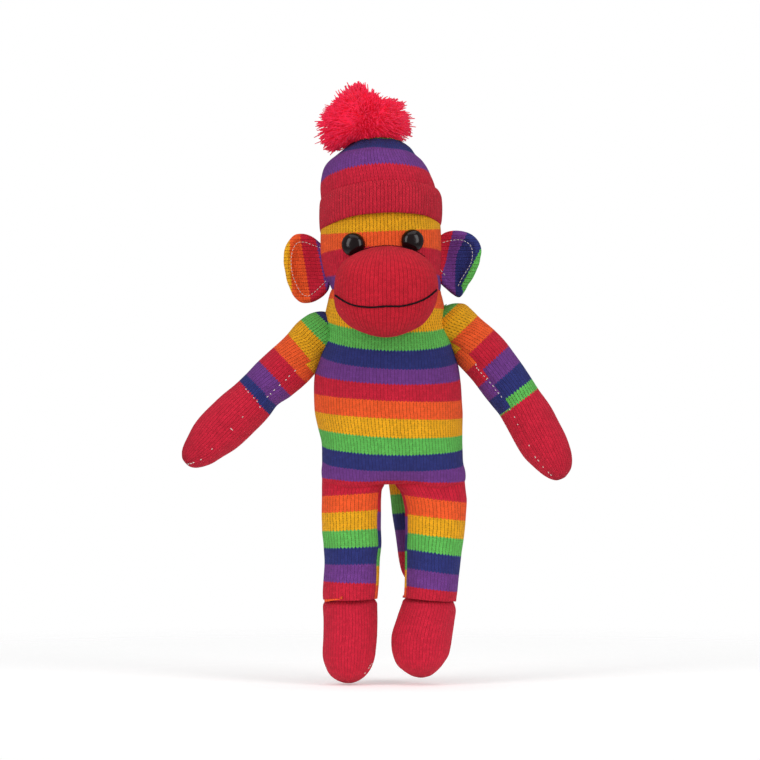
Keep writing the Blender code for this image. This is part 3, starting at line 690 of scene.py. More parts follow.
def stripeByTable(points, angle, table, stripeHeight=18.0):
    # the stripe number at each place, from the heights of the colour changes at left, centre and right
    number = [t[0] for t in table]
    marks = np.array([t[1:] for t in table], float)
    nearer = 1 - (photo["bodyY"] - points[:, :, 1]) / mm / photo["away"]
    height = photo["lens"] + (photo["midY"] - photo["lens"] - points[:, :, 2] / photo["metre"]) / nearer
    found = np.zeros(height.shape)
    for i, j in np.ndindex(height.shape):
        share, front = (math.sin(angle[i, j]) + 1) / 2, max(0.0, math.cos(angle[i, j]))
        line = marks[:, 0] * (1 - share) + marks[:, 2] * share
        line = line + (marks[:, 1] - (marks[:, 0] + marks[:, 2]) / 2) * front
        past = max(0.0, height[i, j] - line.max()) + min(0.0, height[i, j] - line.min())
        way = 1.0 if line[-1] > line[0] else -1.0
        step = 1.0 if number[-1] > number[0] else -1.0
        found[i, j] = np.interp(height[i, j] * way, line * way, number) + past / stripeHeight * way * step
    return found




# torso
torso = {
    "rows": 84, "columns": 84, "wales": 112, "dropFrom": 464.0, "dropOver": 14.0, "drop": 6.0,
    "legCentres": (351.5, 435.5), "legWidth": 17.0,
    "bowlCentre": (386.6, 257.5), "bowlRadius": 65.7, "bowlAngles": (12, 30, 46, 57),
    "bands": [
        (332.4, 288.2, 439.2, 288.2, 37.2, 34.4, 1.6), (330, 293, 440.8, 293, 37.6, 34.4, 2.0),
        (327.6, 303, 443.4, 303, 37.2, 34.4, 2.3), (324.8, 318, 446.8, 318, 35.8, 34.4, 3.0),
        (323.6, 340, 452.2, 340, 35.2, 34.4, 4.0), (318.5, 358, 456.5, 358, 35.4, 34.4, 5.0),
        (314.5, 374, 459.8, 374, 36.0, 34.4, 5.8), (313.2, 390, 461.8, 390, 36.6, 34.4, 6.7),
        (313.8, 410, 463, 410, 36.8, 34.4, 8.0), (317, 428, 462.6, 428, 35.6, 34.2, 9.0),
        (320.6, 446, 462.8, 446, 31.6, 31.0, 10.0, 0, 2.3),
        (321.4, 462, 463.6, 462, 26.8, 26.6, 11.0, 0, 2.9),
        (320.6, 472, 466, 472, 23.6, 23.0, 11.8, 0, 3.4), (321.2, 480, 466, 480, 21.2, 20.4, 12.2, 0, 3.6),
        (326, 484.4, 461, 484.4, 15.4, 12.6, 12.5, 0, 3.4), (366, 483.6, 406, 483.6, 3.0, 3.0, 12.6)],
    "stripes": [(2, 297, 301, 308), (3, 316.5, 330.5, 323), (4, 334, 349, 338), (5, 351.5, 368, 359),
                (6, 370, 382.5, 376), (7, 394, 401.8, 400.5), (8, 409, 417, 416), (9, 426, 436, 433),
                (10, 443.5, 453, 446.5), (11, 459, 470, 462), (12, 476, 480, 479.5)],
}
bowl = domeRings(*torso["bowlCentre"], torso["bowlRadius"], torso["bowlAngles"], (0, -1), (1.6,) * 4,
                 deep=0.99)
points, stripe, angle = loftGrid(bowl + bandRings(torso["bands"]), torso["rows"], torso["columns"])
height = photo["midY"] - points[:, :, 2] / photo["metre"]
px = points[:, :, 0] / photo["metre"] + photo["midX"]
low = np.clip((height - torso["dropFrom"]) / torso["dropOver"], 0, 1)
low[:torso["rows"] // 2] = 0
drop = sum(np.exp(-((px - c) / torso["legWidth"]) ** 2) for c in torso["legCentres"])
points[:, :, 2] -= low * drop * torso["drop"] * photo["metre"]
stripe = stripeByTable(points, angle, torso["stripes"])
points[:, :, 1] = np.minimum(points[:, :, 1], -0.0002)  # flat where the back rests
torsoCloth = gridMesh("torsoCloth", points, stripe, torso["wales"])
lumps(torsoCloth, 0.03, 0.0009, 1)
stuff(torsoCloth)
refine(torsoCloth)
flat = places(torsoCloth)
flat[:, 1] = np.minimum(flat[:, 1], -0.0001)
setPlaces(torsoCloth, flat)
dress(torsoCloth, cloths["torso"], "torso", "torso_skin", "torso_stuffing", fill=0.9, slot="blue_cloth")
print("torso made")

# head
head = {
    "rows": 72, "columns": 96, "wales": 100, "ball": (386.6, 257.5, 64.2), "ballAngles": (10, 28, 44, 56),
    "bands": [
        (329.0, 284, 441.5, 284, 37.0, 37.2, -1.2), (325.2, 277, 440.4, 277, 37.4, 37.4, -1.0),
        (322.4, 264, 441.0, 264, 37.6, 37.2, 0.5), (320.8, 250, 441.4, 250, 37.7, 37.0, 1.3),
        (320.6, 236, 441.0, 236, 37.6, 36.8, 1.9), (320.6, 222, 440.0, 222, 37.2, 36.4, 2.5),
        (322.5, 206, 437.4, 206, 36.4, 36.0, 3.2), (325, 192, 433, 192, 35.0, 34.6, 3.8),
        (331, 178, 424, 178, 30.2, 28.6, 4.5), (341, 167, 412, 167, 22.6, 20.0, 5.0),
        (354, 159, 397, 159, 13.4, 11.6, 5.4), (367, 156, 385, 156, 5.8, 5.4, 5.6)],
    "stripes": [(4, 195, 195, 195), (2, 233.5, 230.5, 228), (1, 257.7, 247.5, 254.7), (0, 279.5, 276, 278),
                (-1, 297, 297, 297)],
}
ball = domeRings(*head["ball"], head["ballAngles"], (0, -1), (-2,) * 4, deep=0.93)
points, stripe, angle = loftGrid(ball + bandRings(head["bands"]), head["rows"], head["columns"])
stripe = stripeByTable(points, angle, head["stripes"])
headCloth = gridMesh("headCloth", points, stripe, head["wales"])
lumps(headCloth, 0.03, 0.0006, 2)
stuff(headCloth)
refine(headCloth)
dress(headCloth, cloths["head"], "head", "head_skin", "head_stuffing", fill=0.9, slot="orange_cloth")
headTree = treeOf(headCloth)

# the neck's collar: an outer and an inner wall, both flat at the back
collar = {"centre": (386.6, 257.5), "outside": 65.3, "inside": 64.6, "low": 58.5, "high": 52, "rows": 32,
          "wales": 100, "sides": (331.8, 438.6), "backOutside": -0.0006, "backInside": -0.0013}
spread = np.linspace(collar["high"], collar["low"], 8)
rings = domeRings(*collar["centre"], collar["outside"], spread, (0, -1), (1.0,) * 8, deep=0.93)
rings += domeRings(*collar["centre"], collar["inside"], spread[::-1], (0, -1), (1.0,) * 8, deep=0.93)
points, stripe, angle = loftGrid(rings, collar["rows"], 96)
stripe += np.linspace(0, 0.6, collar["rows"])[:, None]
points[:, :, 0] = np.clip(points[:, :, 0], *[spot(x, 0)[0] for x in collar["sides"]])
outer, inner = points[:collar["rows"] // 2], points[collar["rows"] // 2:]
outer[:, :, 1] = np.minimum(outer[:, :, 1], collar["backOutside"])
inner[:, :, 1] = np.minimum(inner[:, :, 1], collar["backInside"])
neckCollar = gridMesh("neckCollar", points, stripe, collar["wales"], poles=False, wrapRows=True)
refine(neckCollar)
dress(neckCollar, cloths["collar"], "neck", "neck_band", slot="orange_cloth")
print("head made")

# muzzle
muzzle = {
    "centre": (386.5, 291.0), "rows": 40, "columns": 96, "waleWidth": 2.6, "course": 1.5,
    "outline": [(385, 246), (367.5, 248.5), (350, 256), (341, 263.5), (336, 273), (334, 287), (334, 297),
                (336.5, 311), (342, 319.5), (349, 326), (358, 330.7), (367.5, 334), (378, 336.6),
                (390, 337.2),
                (401, 335), (410.5, 331.5), (423.5, 324), (433, 311), (437.2, 298), (438.4, 284), (435, 269),
                (427, 258.5), (416, 251.5), (400, 247.2)],
    # share of the outline, how far forward of the body's axis in mm; the top leans back
    "profile": [(0.90, 28), (0.955, 34), (0.99, 42), (1.0, 50), (0.975, 57.5), (0.90, 64.5), (0.76, 70.2),
                (0.55, 74.0), (0.32, 75.8), (0.12, 76.3)],
    "leanBack": [(0.90, 28), (0.955, 32), (0.985, 37), (1.0, 42.5), (0.98, 50), (0.92, 58.5), (0.79, 66.5),
                 (0.57, 72.6), (0.33, 75.4), (0.12, 76.3)],
    "reach": 33, "axis": 0.03, "round": 0.043,  # the knit turns about an upright line, axis metres ahead
    "bow": 1.8, "bowFrom": 0.111, "bowOver": 0.045, "bowHeight": 0.012,
}
centreX, centreY = muzzle["centre"]
angle, reach = reachAround(muzzle["outline"], muzzle["centre"], muzzle["columns"])
profile, leanBack = np.array(muzzle["profile"], float), np.array(muzzle["leanBack"], float)
keys = sectionKeys(profile, muzzle["reach"], 1)
points = np.zeros((muzzle["rows"], muzzle["columns"], 3))
for j, a in enumerate(angle):
    top = max(0.0, -math.cos(a)) ** 1.5
    section = profile * (1 - top) + leanBack * top
    share = smoothCurve(keys, section, np.linspace(0, keys[-1], muzzle["rows"]))
    for i, (wide, ahead) in enumerate(share):
        x = centreX + math.sin(a) * reach[j] * wide
        y = centreY + math.cos(a) * reach[j] * wide
        points[i, j] = spot(x, y, ahead)
muzzleCloth = gridMesh("muzzleCloth", points, np.zeros(points.shape[:2]), 1)
lumps(muzzleCloth, 0.022, 0.0005, 3)
stuff(muzzleCloth)
refine(muzzleCloth)

# wales run up and down, turning about an upright line so that they keep their width round the sides
co, middle = places(muzzleCloth), spot(*muzzle["centre"])
axisY = photo["bodyY"] - muzzle["axis"]
wale = np.arctan2(co[:, 0] - middle[0], axisY - co[:, 1]) * muzzle["round"] / (muzzle["waleWidth"] * mm)
stripe = (co[:, 2] - middle[2]) / (muzzle["course"] * mm) / clothLook["courses"]
back = np.clip((co[:, 1] + muzzle["bowFrom"]) / muzzle["bowOver"], 0, 1)
stripe += np.sin(back * 1.2) * np.tanh((co[:, 2] - middle[2]) / muzzle["bowHeight"]) * muzzle["bow"]
setKnitMap(muzzleCloth, wale, stripe)
dress(muzzleCloth, cloths["muzzle"], "head", "muzzle_skin", "muzzle_stuffing", fill=0.9, slot="red_cloth")
muzzleTree = treeOf(muzzleCloth)

# dark thread along the muzzle's top seam, on the crest that the picture shows
topline = {"radius": 0.0003, "from": 359, "to": 425, "points": 56, "depths": (38, 56), "pitch": 0.0022}
route = []
for x in np.linspace(topline["from"], topline["to"], topline["points"]):
    crest = []
    for depth in np.linspace(*topline["depths"], 19):
        hit = muzzleTree.ray_cast(Vector(spot(x, 200, depth)), Vector((0, 0, -1)))[0]
        if hit:
            crest.append(((hit.z - spot(0, photo["lens"])[2]) / (1 - depth / photo["away"]), hit))
    route.append(max(crest, key=lambda c: c[0])[1])
route = np.array(route)
route[2:-2] = (route[:-4] + route[1:-3] + route[2:-2] + route[3:-1] + route[4:]) / 5
strokes = stitchRun(route, muzzleTree, topline["pitch"], 0.97, 0.0004)
topThread = tubes("toplineThread", strokes, topline["radius"])
dress(topThread, blackThread, "head", slot="black_thread")

mouth = {"radius": 0.00062, "pitch": 0.0046, "lift": 0.0005, "from": 335.4, "to": 436.2, "points": 60,
         "line": [(334.8, 294.6), (338, 297), (342, 299.7), (350, 304), (360, 306.4), (372, 307.3),
                  (385, 306.2), (399, 306.2), (413, 303.5), (425, 298.7), (432, 293.8), (436.5, 289.6)]}
route = []
along = np.linspace(mouth["from"], mouth["to"], mouth["points"])
for x, y in smoothCurve([p[0] for p in mouth["line"]], mouth["line"], along):
    hit, normal = onFront(muzzleTree, x, y)
    route.append(hit + normal * 0.00012)
strokes = stitchRun(route, muzzleTree, mouth["pitch"], 1.12, mouth["lift"], sink=0.0001) + [route]
mouthThread = tubes("mouthEmbroidery", strokes, mouth["radius"], sides=8, taper=0.8)
dress(mouthThread, blackThread, "head", "mouth_thread", slot="black_thread")
print("muzzle made")

# eyes: turned domes; skirt and tip are (share of the radius, rise in mm) and a share of the radius
eyes = {"height": 6.2, "base": 1.4, "steps": 14, "columns": 48, "skirt": [(0.90, -1.0), (0.985, 0.6)],
        "tip": 0.03,
        "sink": 0.8, "ahead": (0.45, 1.0, 0.3),
        "left": (412, 240.9, 7.75), "right": (353.6, 244.7, 8.0)}  # picture place, radius in mm
section = list(eyes["skirt"])
for i in range(len(section), eyes["steps"] + 1):
    t = math.pi / 2 * i / eyes["steps"]
    section.append((math.cos(t - 0.1), eyes["height"] * math.sin(t) + eyes["base"]))
section[-1] = (eyes["tip"], section[-1][1])
for side in ("left", "right"):
    x, y, eyeRadius = eyes[side]
    hit, normal = onFront(headTree, x, y)
    normal = normal * eyes["ahead"]  # turned further ahead than the cloth under it
    normal /= np.linalg.norm(normal)
    across = np.cross((0.0, 0.0, 1.0), normal)
    across /= np.linalg.norm(across)
    up = np.cross(normal, across)
    base = hit - normal * eyes["sink"] * mm
    verts = []
    for share, rise in section:
        wide = eyeRadius * mm * share
        for k in range(eyes["columns"]):
            a = 2 * math.pi * k / eyes["columns"]
            rim = across * math.cos(a) * wide + up * math.sin(a) * wide
            verts.append(base + rim + normal * rise * mm)
    eye = meshObject("eyeDome_" + side, verts, ringFaces(len(section), eyes["columns"]))
    refine(eye)
    dress(eye, eyePlastic, "head", "eye_" + side, slot="eye_plastic")
print("eyes made")

# hat
crown = {
    "rows": 48, "columns": 120, "wales": 100, "pleats": 8, "pleatDepth": 2.2, "pleatFrom": 160.0,
    "pleatOver": 24.0,
    "bands": [
        (323.4, 222, 437.0, 214, 39.2, 38.4, 7.6, 9.0), (321.4, 208, 437.2, 202, 39.4, 38.2, 7.0, 9.4),
        (320.4, 196, 435.6, 189, 38.8, 37.6, 6.5, 10.0), (320.3, 184, 430.0, 176, 36.6, 35.8, 6.0, 10.6),
        (323.6, 169.5, 424.0, 165.5, 32.0, 32.0, 5.4, 8.8), (334.6, 158, 416, 156.5, 26.4, 27.0, 5.0, 6.2),
        (345, 148.5, 409.5, 147.5, 20.0, 21.0, 4.5, 3.6), (352.5, 142.6, 402, 142.2, 15.5, 16.0, 4.12, 1.8),
        (358, 139.6, 397, 139.8, 12.0, 12.5, 3.8, 0.9), (366, 138.4, 388, 138.4, 7.5, 7.5, 3.5, 0.3),
        (371, 138.2, 382, 138.2, 3.6, 3.6, 3.2, 0.0)],
}
points, stripe, angle = loftGrid(bandRings(crown["bands"]), crown["rows"], crown["columns"])
middle = points.mean(axis=1, keepdims=True)
height = photo["midY"] - points[:, :, 2] / photo["metre"]
fold = np.clip((crown["pleatFrom"] - height) / crown["pleatOver"], 0, 1) * crown["pleatDepth"] * mm
wave = np.cos(angle * crown["pleats"] + 0.7 * np.sin(angle * 2)) * 0.5 - 0.35
outward = points - middle
outward /= np.maximum(np.linalg.norm(outward, axis=2, keepdims=True), 1e-9)
points += outward * (fold * wave)[:, :, None]
hatCrown = gridMesh("hatCrown", points, stripe, crown["wales"])
lumps(hatCrown, 0.024, 0.0006, 4)
refine(hatCrown)
dress(hatCrown, cloths["crown"], "head", "hat_crown", slot="purple_cloth")

cuff = {
    "rows": 44, "columns": 144, "wales": 106,
    "bands": [
        (324.4, 230.5, 436.4, 223, 39.4, 38.6, 0.9, 9.6), (321.6, 233.6, 439.0, 226.4, 41.0, 39.8, 1.0, 10.0),
        (319.8, 229, 441.2, 221.6, 42.4, 41.0, 1.1, 10.0), (319.0, 217, 442.0, 210, 42.8, 41.4, 1.6, 9.7),
        (319.4, 206, 441.6, 199.5, 42.2, 41.0, 2.1, 9.3), (321.2, 200.4, 438.2, 192.6, 40.9, 39.8, 2.4, 9.2),
        (323.2, 203.0, 435.4, 196.5, 39.7, 38.7, 2.55, 9.2),
        (324.0, 216.0, 435.6, 209.5, 39.4, 38.4, 2.6, 9.4),
        (324.4, 230.5, 436.4, 223, 39.4, 38.6, 2.9, 9.6)],
}
points, stripe, angle = loftGrid(bandRings(cuff["bands"]), cuff["rows"] + 1, cuff["columns"])
hatCuff = gridMesh("hatCuff", points[:-1], stripe[:-1], cuff["wales"], poles=False, wrapRows=True)
lumps(hatCuff, 0.02, 0.0007, 5)
refine(hatCuff)
dress(hatCuff, cloths["cuff"], "head", "hat_cuff", slot="red_cloth")
print("hat made")

# pompom
pompom = {
    "centre": (365, 119), "clumps": 150, "strands": 22, "points": 6, "radius": 0.5, "sides": 3, "seed": 7,
    "deep": 28.0, "spread": 0.12, "core": 0.78, "turn": 2.399963,  # the turn spreads clumps evenly
    # picture angle from straight up, clockwise, and reach in pixels
    "reach": [(-180, 24), (-157, 25), (-146, 29), (-140, 42), (-128, 50), (-108, 49), (-98, 47.5), (-76, 43),
              (-68, 38), (-52, 36), (-40, 36.5), (-31, 37), (-22, 35), (-11, 38), (0, 34), (9, 28),
              (22, 28.5),
              (41, 27), (53, 33), (64, 39), (73, 44), (79, 41), (89, 45), (96, 45), (103, 47.5), (114, 48),
              (120, 45), (126, 37), (134, 30), (142, 27), (160, 24), (180, 24)],
}
rng = random.Random(pompom["seed"])
reachKeys, reachFar = [r[0] for r in pompom["reach"]], [r[1] for r in pompom["reach"]]
pompomMiddle = Vector(spot(*pompom["centre"]))


def pompomEnd(way, share):  # the pompom's surface in one direction
    far = float(np.interp(math.degrees(math.atan2(way.x, way.z)), reachKeys, reachFar)) * photo["metre"]
    return pompomMiddle + Vector((way.x * far, way.y * pompom["deep"] * mm, way.z * far)) * share


def scatter(size):
    return Vector((rng.gauss(0, 1), rng.gauss(0, 1), rng.gauss(0, 1))) * size


strokes, thick = [], []
for k in range(pompom["clumps"]):
    side = 1 - 2 * (k + 0.5) / pompom["clumps"]
    flat, turn = math.sqrt(1 - side * side), k * pompom["turn"]
    way = (Vector((flat * math.cos(turn), side, flat * math.sin(turn))) + scatter(0.07)).normalized()
    length, bow, root = rng.uniform(0.97, 1.06), scatter(1.3 * mm), pompomMiddle + scatter(1.5 * mm)
    for n in range(pompom["strands"]):
        longer = rng.uniform(1.02, 1.12) if rng.random() < 0.06 else rng.uniform(0.92, 1.0)
        end = pompomEnd((way + scatter(pompom["spread"])).normalized(), length * longer)
        curl = scatter(0.45 * mm)
        strokes.append([root + (end - root) * t + bow * math.sin(math.pi * t) + curl * math.sin(6.0 * t)
                        for t in np.linspace(0.3, 1, pompom["points"])])
        thick.append(pompom["radius"] * mm * rng.uniform(0.8, 1.15))
yarn = tubes("pompomYarn", strokes, thick, sides=pompom["sides"], taper=0.6)
dress(yarn, redYarn, "pompom", "pompom", slot="red_yarn")
core = bmesh.new()
bmesh.ops.create_icosphere(core, subdivisions=4, radius=1.0)
for v in core.verts:
    under = 1 - 0.3 * max(0.0, -v.co.normalized().z)
    v.co = pompomEnd(v.co.normalized(), pompom["core"] * under * (1 + 0.06 * noise.noise(v.co * 7.0)))
core.verts.index_update()
pompomCore = meshObject("pompomCore", [v.co for v in core.verts],
                        [[v.index for v in f.verts] for f in core.faces])
core.free()
dress(pompomCore, redYarn, "pompom", slot="red_yarn")

# the yarn that ties it on, in mm
tie = {"turns": 3, "points": 28, "radius": 5.6, "thick": 0.75, "first": 1.1, "rise": 1.2}
low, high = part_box("pompom_tie")
middle = (low + high) / 2
loops = []
for n in range(tie["turns"]):
    z = low.z + (tie["first"] + n * tie["rise"]) * mm
    angles = [2 * math.pi * k / tie["points"] for k in range(tie["points"] + 1)]
    loops.append([(middle.x + math.cos(a) * tie["radius"] * mm, middle.y + math.sin(a) * tie["radius"] * mm,
                   z)
                  for a in angles])
tieYarn = tubes("pompomTie", loops, tie["thick"] * mm, sides=8, taper=1.0)
dress(tieYarn, greenYarn, "head", "pompom_tie", slot="green_yarn")
print("pompom made")

# ears: changes are the lines, in pixels, where the next colour starts
ears = {
    "right": {
        "centre": (304, 267), "slot": "orange_cloth",
        "outline": [(296, 234), (303, 233.6), (310, 235.6), (317, 240), (323, 246), (327, 256), (329.5, 268),
                    (330, 280), (329, 289), (325.5, 294), (319, 299), (311, 302.6), (303, 303), (295, 298),
                    (289, 286), (285, 271), (283.6, 259), (285, 248), (289.4, 239.6)],
        "changes": [[(288.5, 234), (290.5, 300)], [(299, 236), (309.6, 302)], [(314, 240), (324.6, 290)]],
        "stitches": [[(324, 250), (320, 247.5), (311, 244.5), (305, 242), (299, 242), (293, 249), (291, 260),
                      (292, 272), (296, 284), (302, 294), (307, 296.5), (313, 293.5), (319, 288),
                      (327, 280)]]},
    "left": {
        "centre": (459, 264), "slot": "blue_cloth",
        "outline": [(437, 239), (444, 233), (453, 230.8), (461, 231), (468, 233), (475, 237.5), (480, 244),
                    (481.6, 250), (480, 259), (476, 271), (469, 283.5), (463.5, 293), (459.5, 297.6),
                    (453, 294.6),
                    (446, 289), (439, 281.5), (436, 270), (435.4, 255)],
        "changes": [[(451.4, 231), (448.9, 242.4), (445.3, 260.8), (440.2, 275.6)],
                    [(465.7, 233), (458.6, 246.5), (455.5, 253.6), (454, 263), (454, 273), (455, 289.4)],
                    [(482.5, 243), (477.4, 251.6), (472.9, 260), (465.7, 274), (459.6, 285.8),
                     (461.6, 293.5)]],
        "stitches": [[(442.5, 242.7), (450.4, 240.4), (458.6, 239.6), (462.6, 240.2), (467.2, 242.4),
                      (471.3, 246.5), (472.6, 254.7), (471.3, 262.3), (466.2, 271.5), (462.1, 278.1),
                      (457.6, 287.3)], [(440.2, 269.7), (443.3, 273.5), (446, 276.4)]]},
}
earShape = {"rows": 46, "columns": 96, "half": 4.6, "stitchAt": 0.80, "stitchLimits": (0.5, 0.88),
            "stripe": 18,
            "wale": 2.4, "pitch": 0.0024,
            # share of the outline, depth towards the viewer as a share of half, down the front and up behind
            "section": [(0.06, -0.16), (0.3, -0.12), (0.55, 0.06), (0.72, 0.38), (0.79, 0.46), (0.81, 0.44),
                        (0.88, 0.78), (0.95, 0.72), (1.0, 0.2), (0.99, -0.35), (0.92, -0.75), (0.7, -0.98),
                        (0.4, -1.05), (0.06, -1.08)]}
section = np.array(earShape["section"])
keys = sectionKeys(section, 20, 5)
share = smoothCurve(keys, section, np.linspace(0, keys[-1], earShape["rows"]))
for side in ("right", "left"):
    ear = ears[side]
    centreX, centreY = ear["centre"]
    angle, reach = reachAround(ear["outline"], ear["centre"], earShape["columns"])
    line = np.array(sum(ear["stitches"], [])) - ear["centre"]
    lineTurn, lineFar = np.arctan2(line[:, 0], line[:, 1]), np.hypot(line[:, 0], line[:, 1])
    sewn = np.clip(np.interp(angle, lineTurn, lineFar, period=2 * np.pi) / reach, *earShape["stitchLimits"])
    points = np.zeros((earShape["rows"], earShape["columns"], 3))
    for i, (wide, ahead) in enumerate(share):
        for j, a in enumerate(angle):
            far = np.interp(wide, [0, earShape["stitchAt"], 1], [0, sewn[j], 1]) * reach[j]
            points[i, j] = spot(centreX + math.sin(a) * far, centreY + math.cos(a) * far,
                                ahead * earShape["half"])
    earCloth = gridMesh("earCloth_" + side, points, np.zeros(points.shape[:2]), 1)
    lumps(earCloth, 0.014, 0.0005, 6)
    refine(earCloth)
    co = places(earCloth)
    across, down = co[:, 0] / photo["metre"] + photo["midX"], photo["midY"] - co[:, 2] / photo["metre"]
    stripe = np.zeros(len(co))
    for v in range(len(co)):
        marks = [np.interp(down[v], [p[1] for p in line], [p[0] for p in line]) for line in ear["changes"]]
        marks = [marks[0] - earShape["stripe"]] + marks + [marks[-1] + earShape["stripe"]]
        stripe[v] = np.interp(across[v], marks, range(len(marks)))
    setKnitMap(earCloth, co[:, 2] / (earShape["wale"] * mm), stripe)
    dress(earCloth, cloths["ear" + side.capitalize()], "ear_" + side, "ear_%s_skin" % side,
          "ear_%s_stuffing" % side, fill=0.5, slot=ear["slot"])
    earTree = treeOf(earCloth)
    strokes = []
    for line in ear["stitches"]:
        route = np.array([onFront(earTree, x, y)[0] for x, y in line])
        strokes += stitchRun(route, earTree, earShape["pitch"], 0.7, 0.00028)
    earStitches = tubes("earTopstitch_" + side, strokes, 0.0002)
    dress(earStitches, whiteThread, "ear_" + side, "ear_%s_topstitch" % side, slot="white_thread")
print("ears made")


# arms
def limb(name, rings, setup, cloth, body, slot, seed):
    # a stuffed tube with a seam down it, for the nodes BODY_skin and BODY_stuffing
    points, stripe, angle = loftGrid(rings, setup["rows"], setup["columns"], seam=setup["seam"],
                                     keep=setup.get("keep"))
    inward = points.mean(axis=1)[:, None, :] - points
    inward /= np.maximum(np.linalg.norm(inward, axis=2, keepdims=True), 1e-9)
    for j, share in ((0, 1.0), (1, 0.35), (-1, 0.35)):
        points[:, j] += inward[:, j] * setup["seamDepth"] * mm * share
    piece = gridMesh(name, points, stripe, setup["wales"], jog=setup.get("jog"), strip=setup.get("strip"))
    lumps(piece, 0.02, setup["lump"], seed)
    stuff(piece)
    refine(piece)
    dress(piece, cloth, body, body + "_skin", body + "_stuffing", fill=0.85, slot=slot)
    return piece


# edges are upper edge, lower edge and stripe; stitches are place, length and True where one lies across
armShape = {"rows": 72, "columns": 56, "wales": 43, "keep": 9, "seamDepth": 1.0, "lump": 0.0009,
            "fullness": 0.95}
arms = {
    "right": {
        "seam": [(-6.4, 18), (-5.5, 19), (-4.6, 23), (-3.7, 17), (-2.6, 15), (-1.5, 14), (0, 18.6), (1, 19),
                 (2, 31), (2.6, 50)],
        "jog": {"side": 1, "from": -1.5, "slip": [(1.2, 0.08), (1.7, 0.35)]},
        "root": (321, 335.5, 24.6), "ahead": (-0.68, 0.733), "rootAngles": (12, 34, 58, 78),
        "rootStripes": (5.2, 4.6, 4.05, 3.5), "seed": 15,
        "edges": [(299.6, 321, 331, 354, 3.0), (286.4, 334.6, 318, 371, 2.0), (272.4, 348.6, 306.4, 383, 1.0),
                  (257.6, 361.6, 291.6, 396.6, 0.0), (245, 375, 277, 406, -1.0), (238, 381.6, 270, 415, -1.5),
                  (221, 395, 253, 433, -2.6), (206.5, 409.5, 235, 449, -3.7), (194, 424, 217, 461.5, -4.6),
                  (185.5, 440, 205, 466.6, -5.5), (182, 451, 195, 467.6, -6.0),
                  (182.6, 458.5, 189.5, 466, -6.4)],
        "stitches": [(295, 370.6, 2), (289.2, 376, 2), (285.9, 379.8, 1.6), (279.7, 385, 2.4),
                     (274.3, 390, 2),
                     (270.6, 393.8, 1.8, True), (267.6, 396.6, 2.2), (242.6, 416.9, 1.6),
                     (231.7, 429.3, 3.6, True), (212, 449, 1.6), (201, 459.4, 1.4), (193.5, 462.5, 1.8),
                     (191.2, 463.4, 1.8), (188.6, 463.8, 1.8)],
        "join": [(246.1, 389.3, 1.3), (248.2, 392.2, 1.3), (253.8, 398, 1.5), (257.1, 401.4, 1.5),
                 (259.8, 407.1, 1.3)]},
    "left": {
        "seam": [(-5.4, -37.6), (-4.5, -35), (-3.6, -32.7), (-2.5, -28), (-2, -25), (1, -25), (1.6, -36),
                 (2.4, -60)],
        "jog": {"side": -1, "from": -2.5, "slip": [(0, 0.55)]},
        "root": (456.6, 328.6, 25.8), "ahead": (0.69, 0.72), "rootAngles": (10, 28, 46, 66),
        "rootStripes": (4.2, 3.6, 3.0, 2.5), "seed": 14,
        "edges": [(477.4, 315, 445, 346, 2.0), (493.4, 329, 457, 364, 1.0), (508, 345.4, 470.4, 379, 0.0),
                  (519.6, 361, 482, 394, -1.0), (531.4, 378, 492.6, 406.5, -2.0),
                  (537.4, 387, 499.6, 415, -2.5),
                  (552.6, 410.6, 513, 439.6, -3.6), (563.6, 429.6, 523, 455.6, -4.5),
                  (570.5, 448, 534, 467.6, -5.4),
                  (572.6, 461, 542, 474.5, -6.0), (570.8, 471, 550, 479, -6.5),
                  (565.5, 478, 556.5, 480.8, -6.9)],
        "stitches": [(476, 364.6, 2.2), (476.8, 367.9, 1.4), (478.6, 369.8, 1.6), (481.3, 373, 1.8),
                     (484, 376, 1.8), (487, 378.8, 2.4, True), (490.1, 382.6, 1.8), (493.2, 385.9, 2.4),
                     (495.6, 390, 1.6), (498.5, 393, 2), (501.4, 396.6, 2), (509.8, 409.5, 1.3),
                     (514.7, 417, 1.2), (517.8, 424.4, 1.2), (529.3, 445.4, 1.5), (535.4, 457.1, 2),
                     (538.5, 460.5, 2), (543.2, 466.9, 1.3), (548.6, 472.4, 1.8), (551, 474.8, 1.8)]},
}
for side in ("right", "left"):
    arm = armShape | arms[side]
    rings = domeRings(*arm["root"], arm["rootAngles"], arm["ahead"], arm["rootStripes"])
    rings += edgeRings(arm["edges"], lambda half, y: half * armShape["fullness"])
    armCloth = limb("armCloth_" + side, rings, arm, cloths["arm" + side.capitalize()], "arm_" + side,
                    "green_cloth", arm["seed"])
    armTree = treeOf(armCloth)
    strokes = smallStitches(armTree, arm["stitches"]) + smallStitches(armTree, arm.get("join", []))
    seamStitches = tubes("armStitches_" + side, strokes, 0.00028)
    dress(seamStitches, whiteThread, "arm_" + side, "arm_%s_seam_thread" % side, slot="white_thread")
print("arms made")

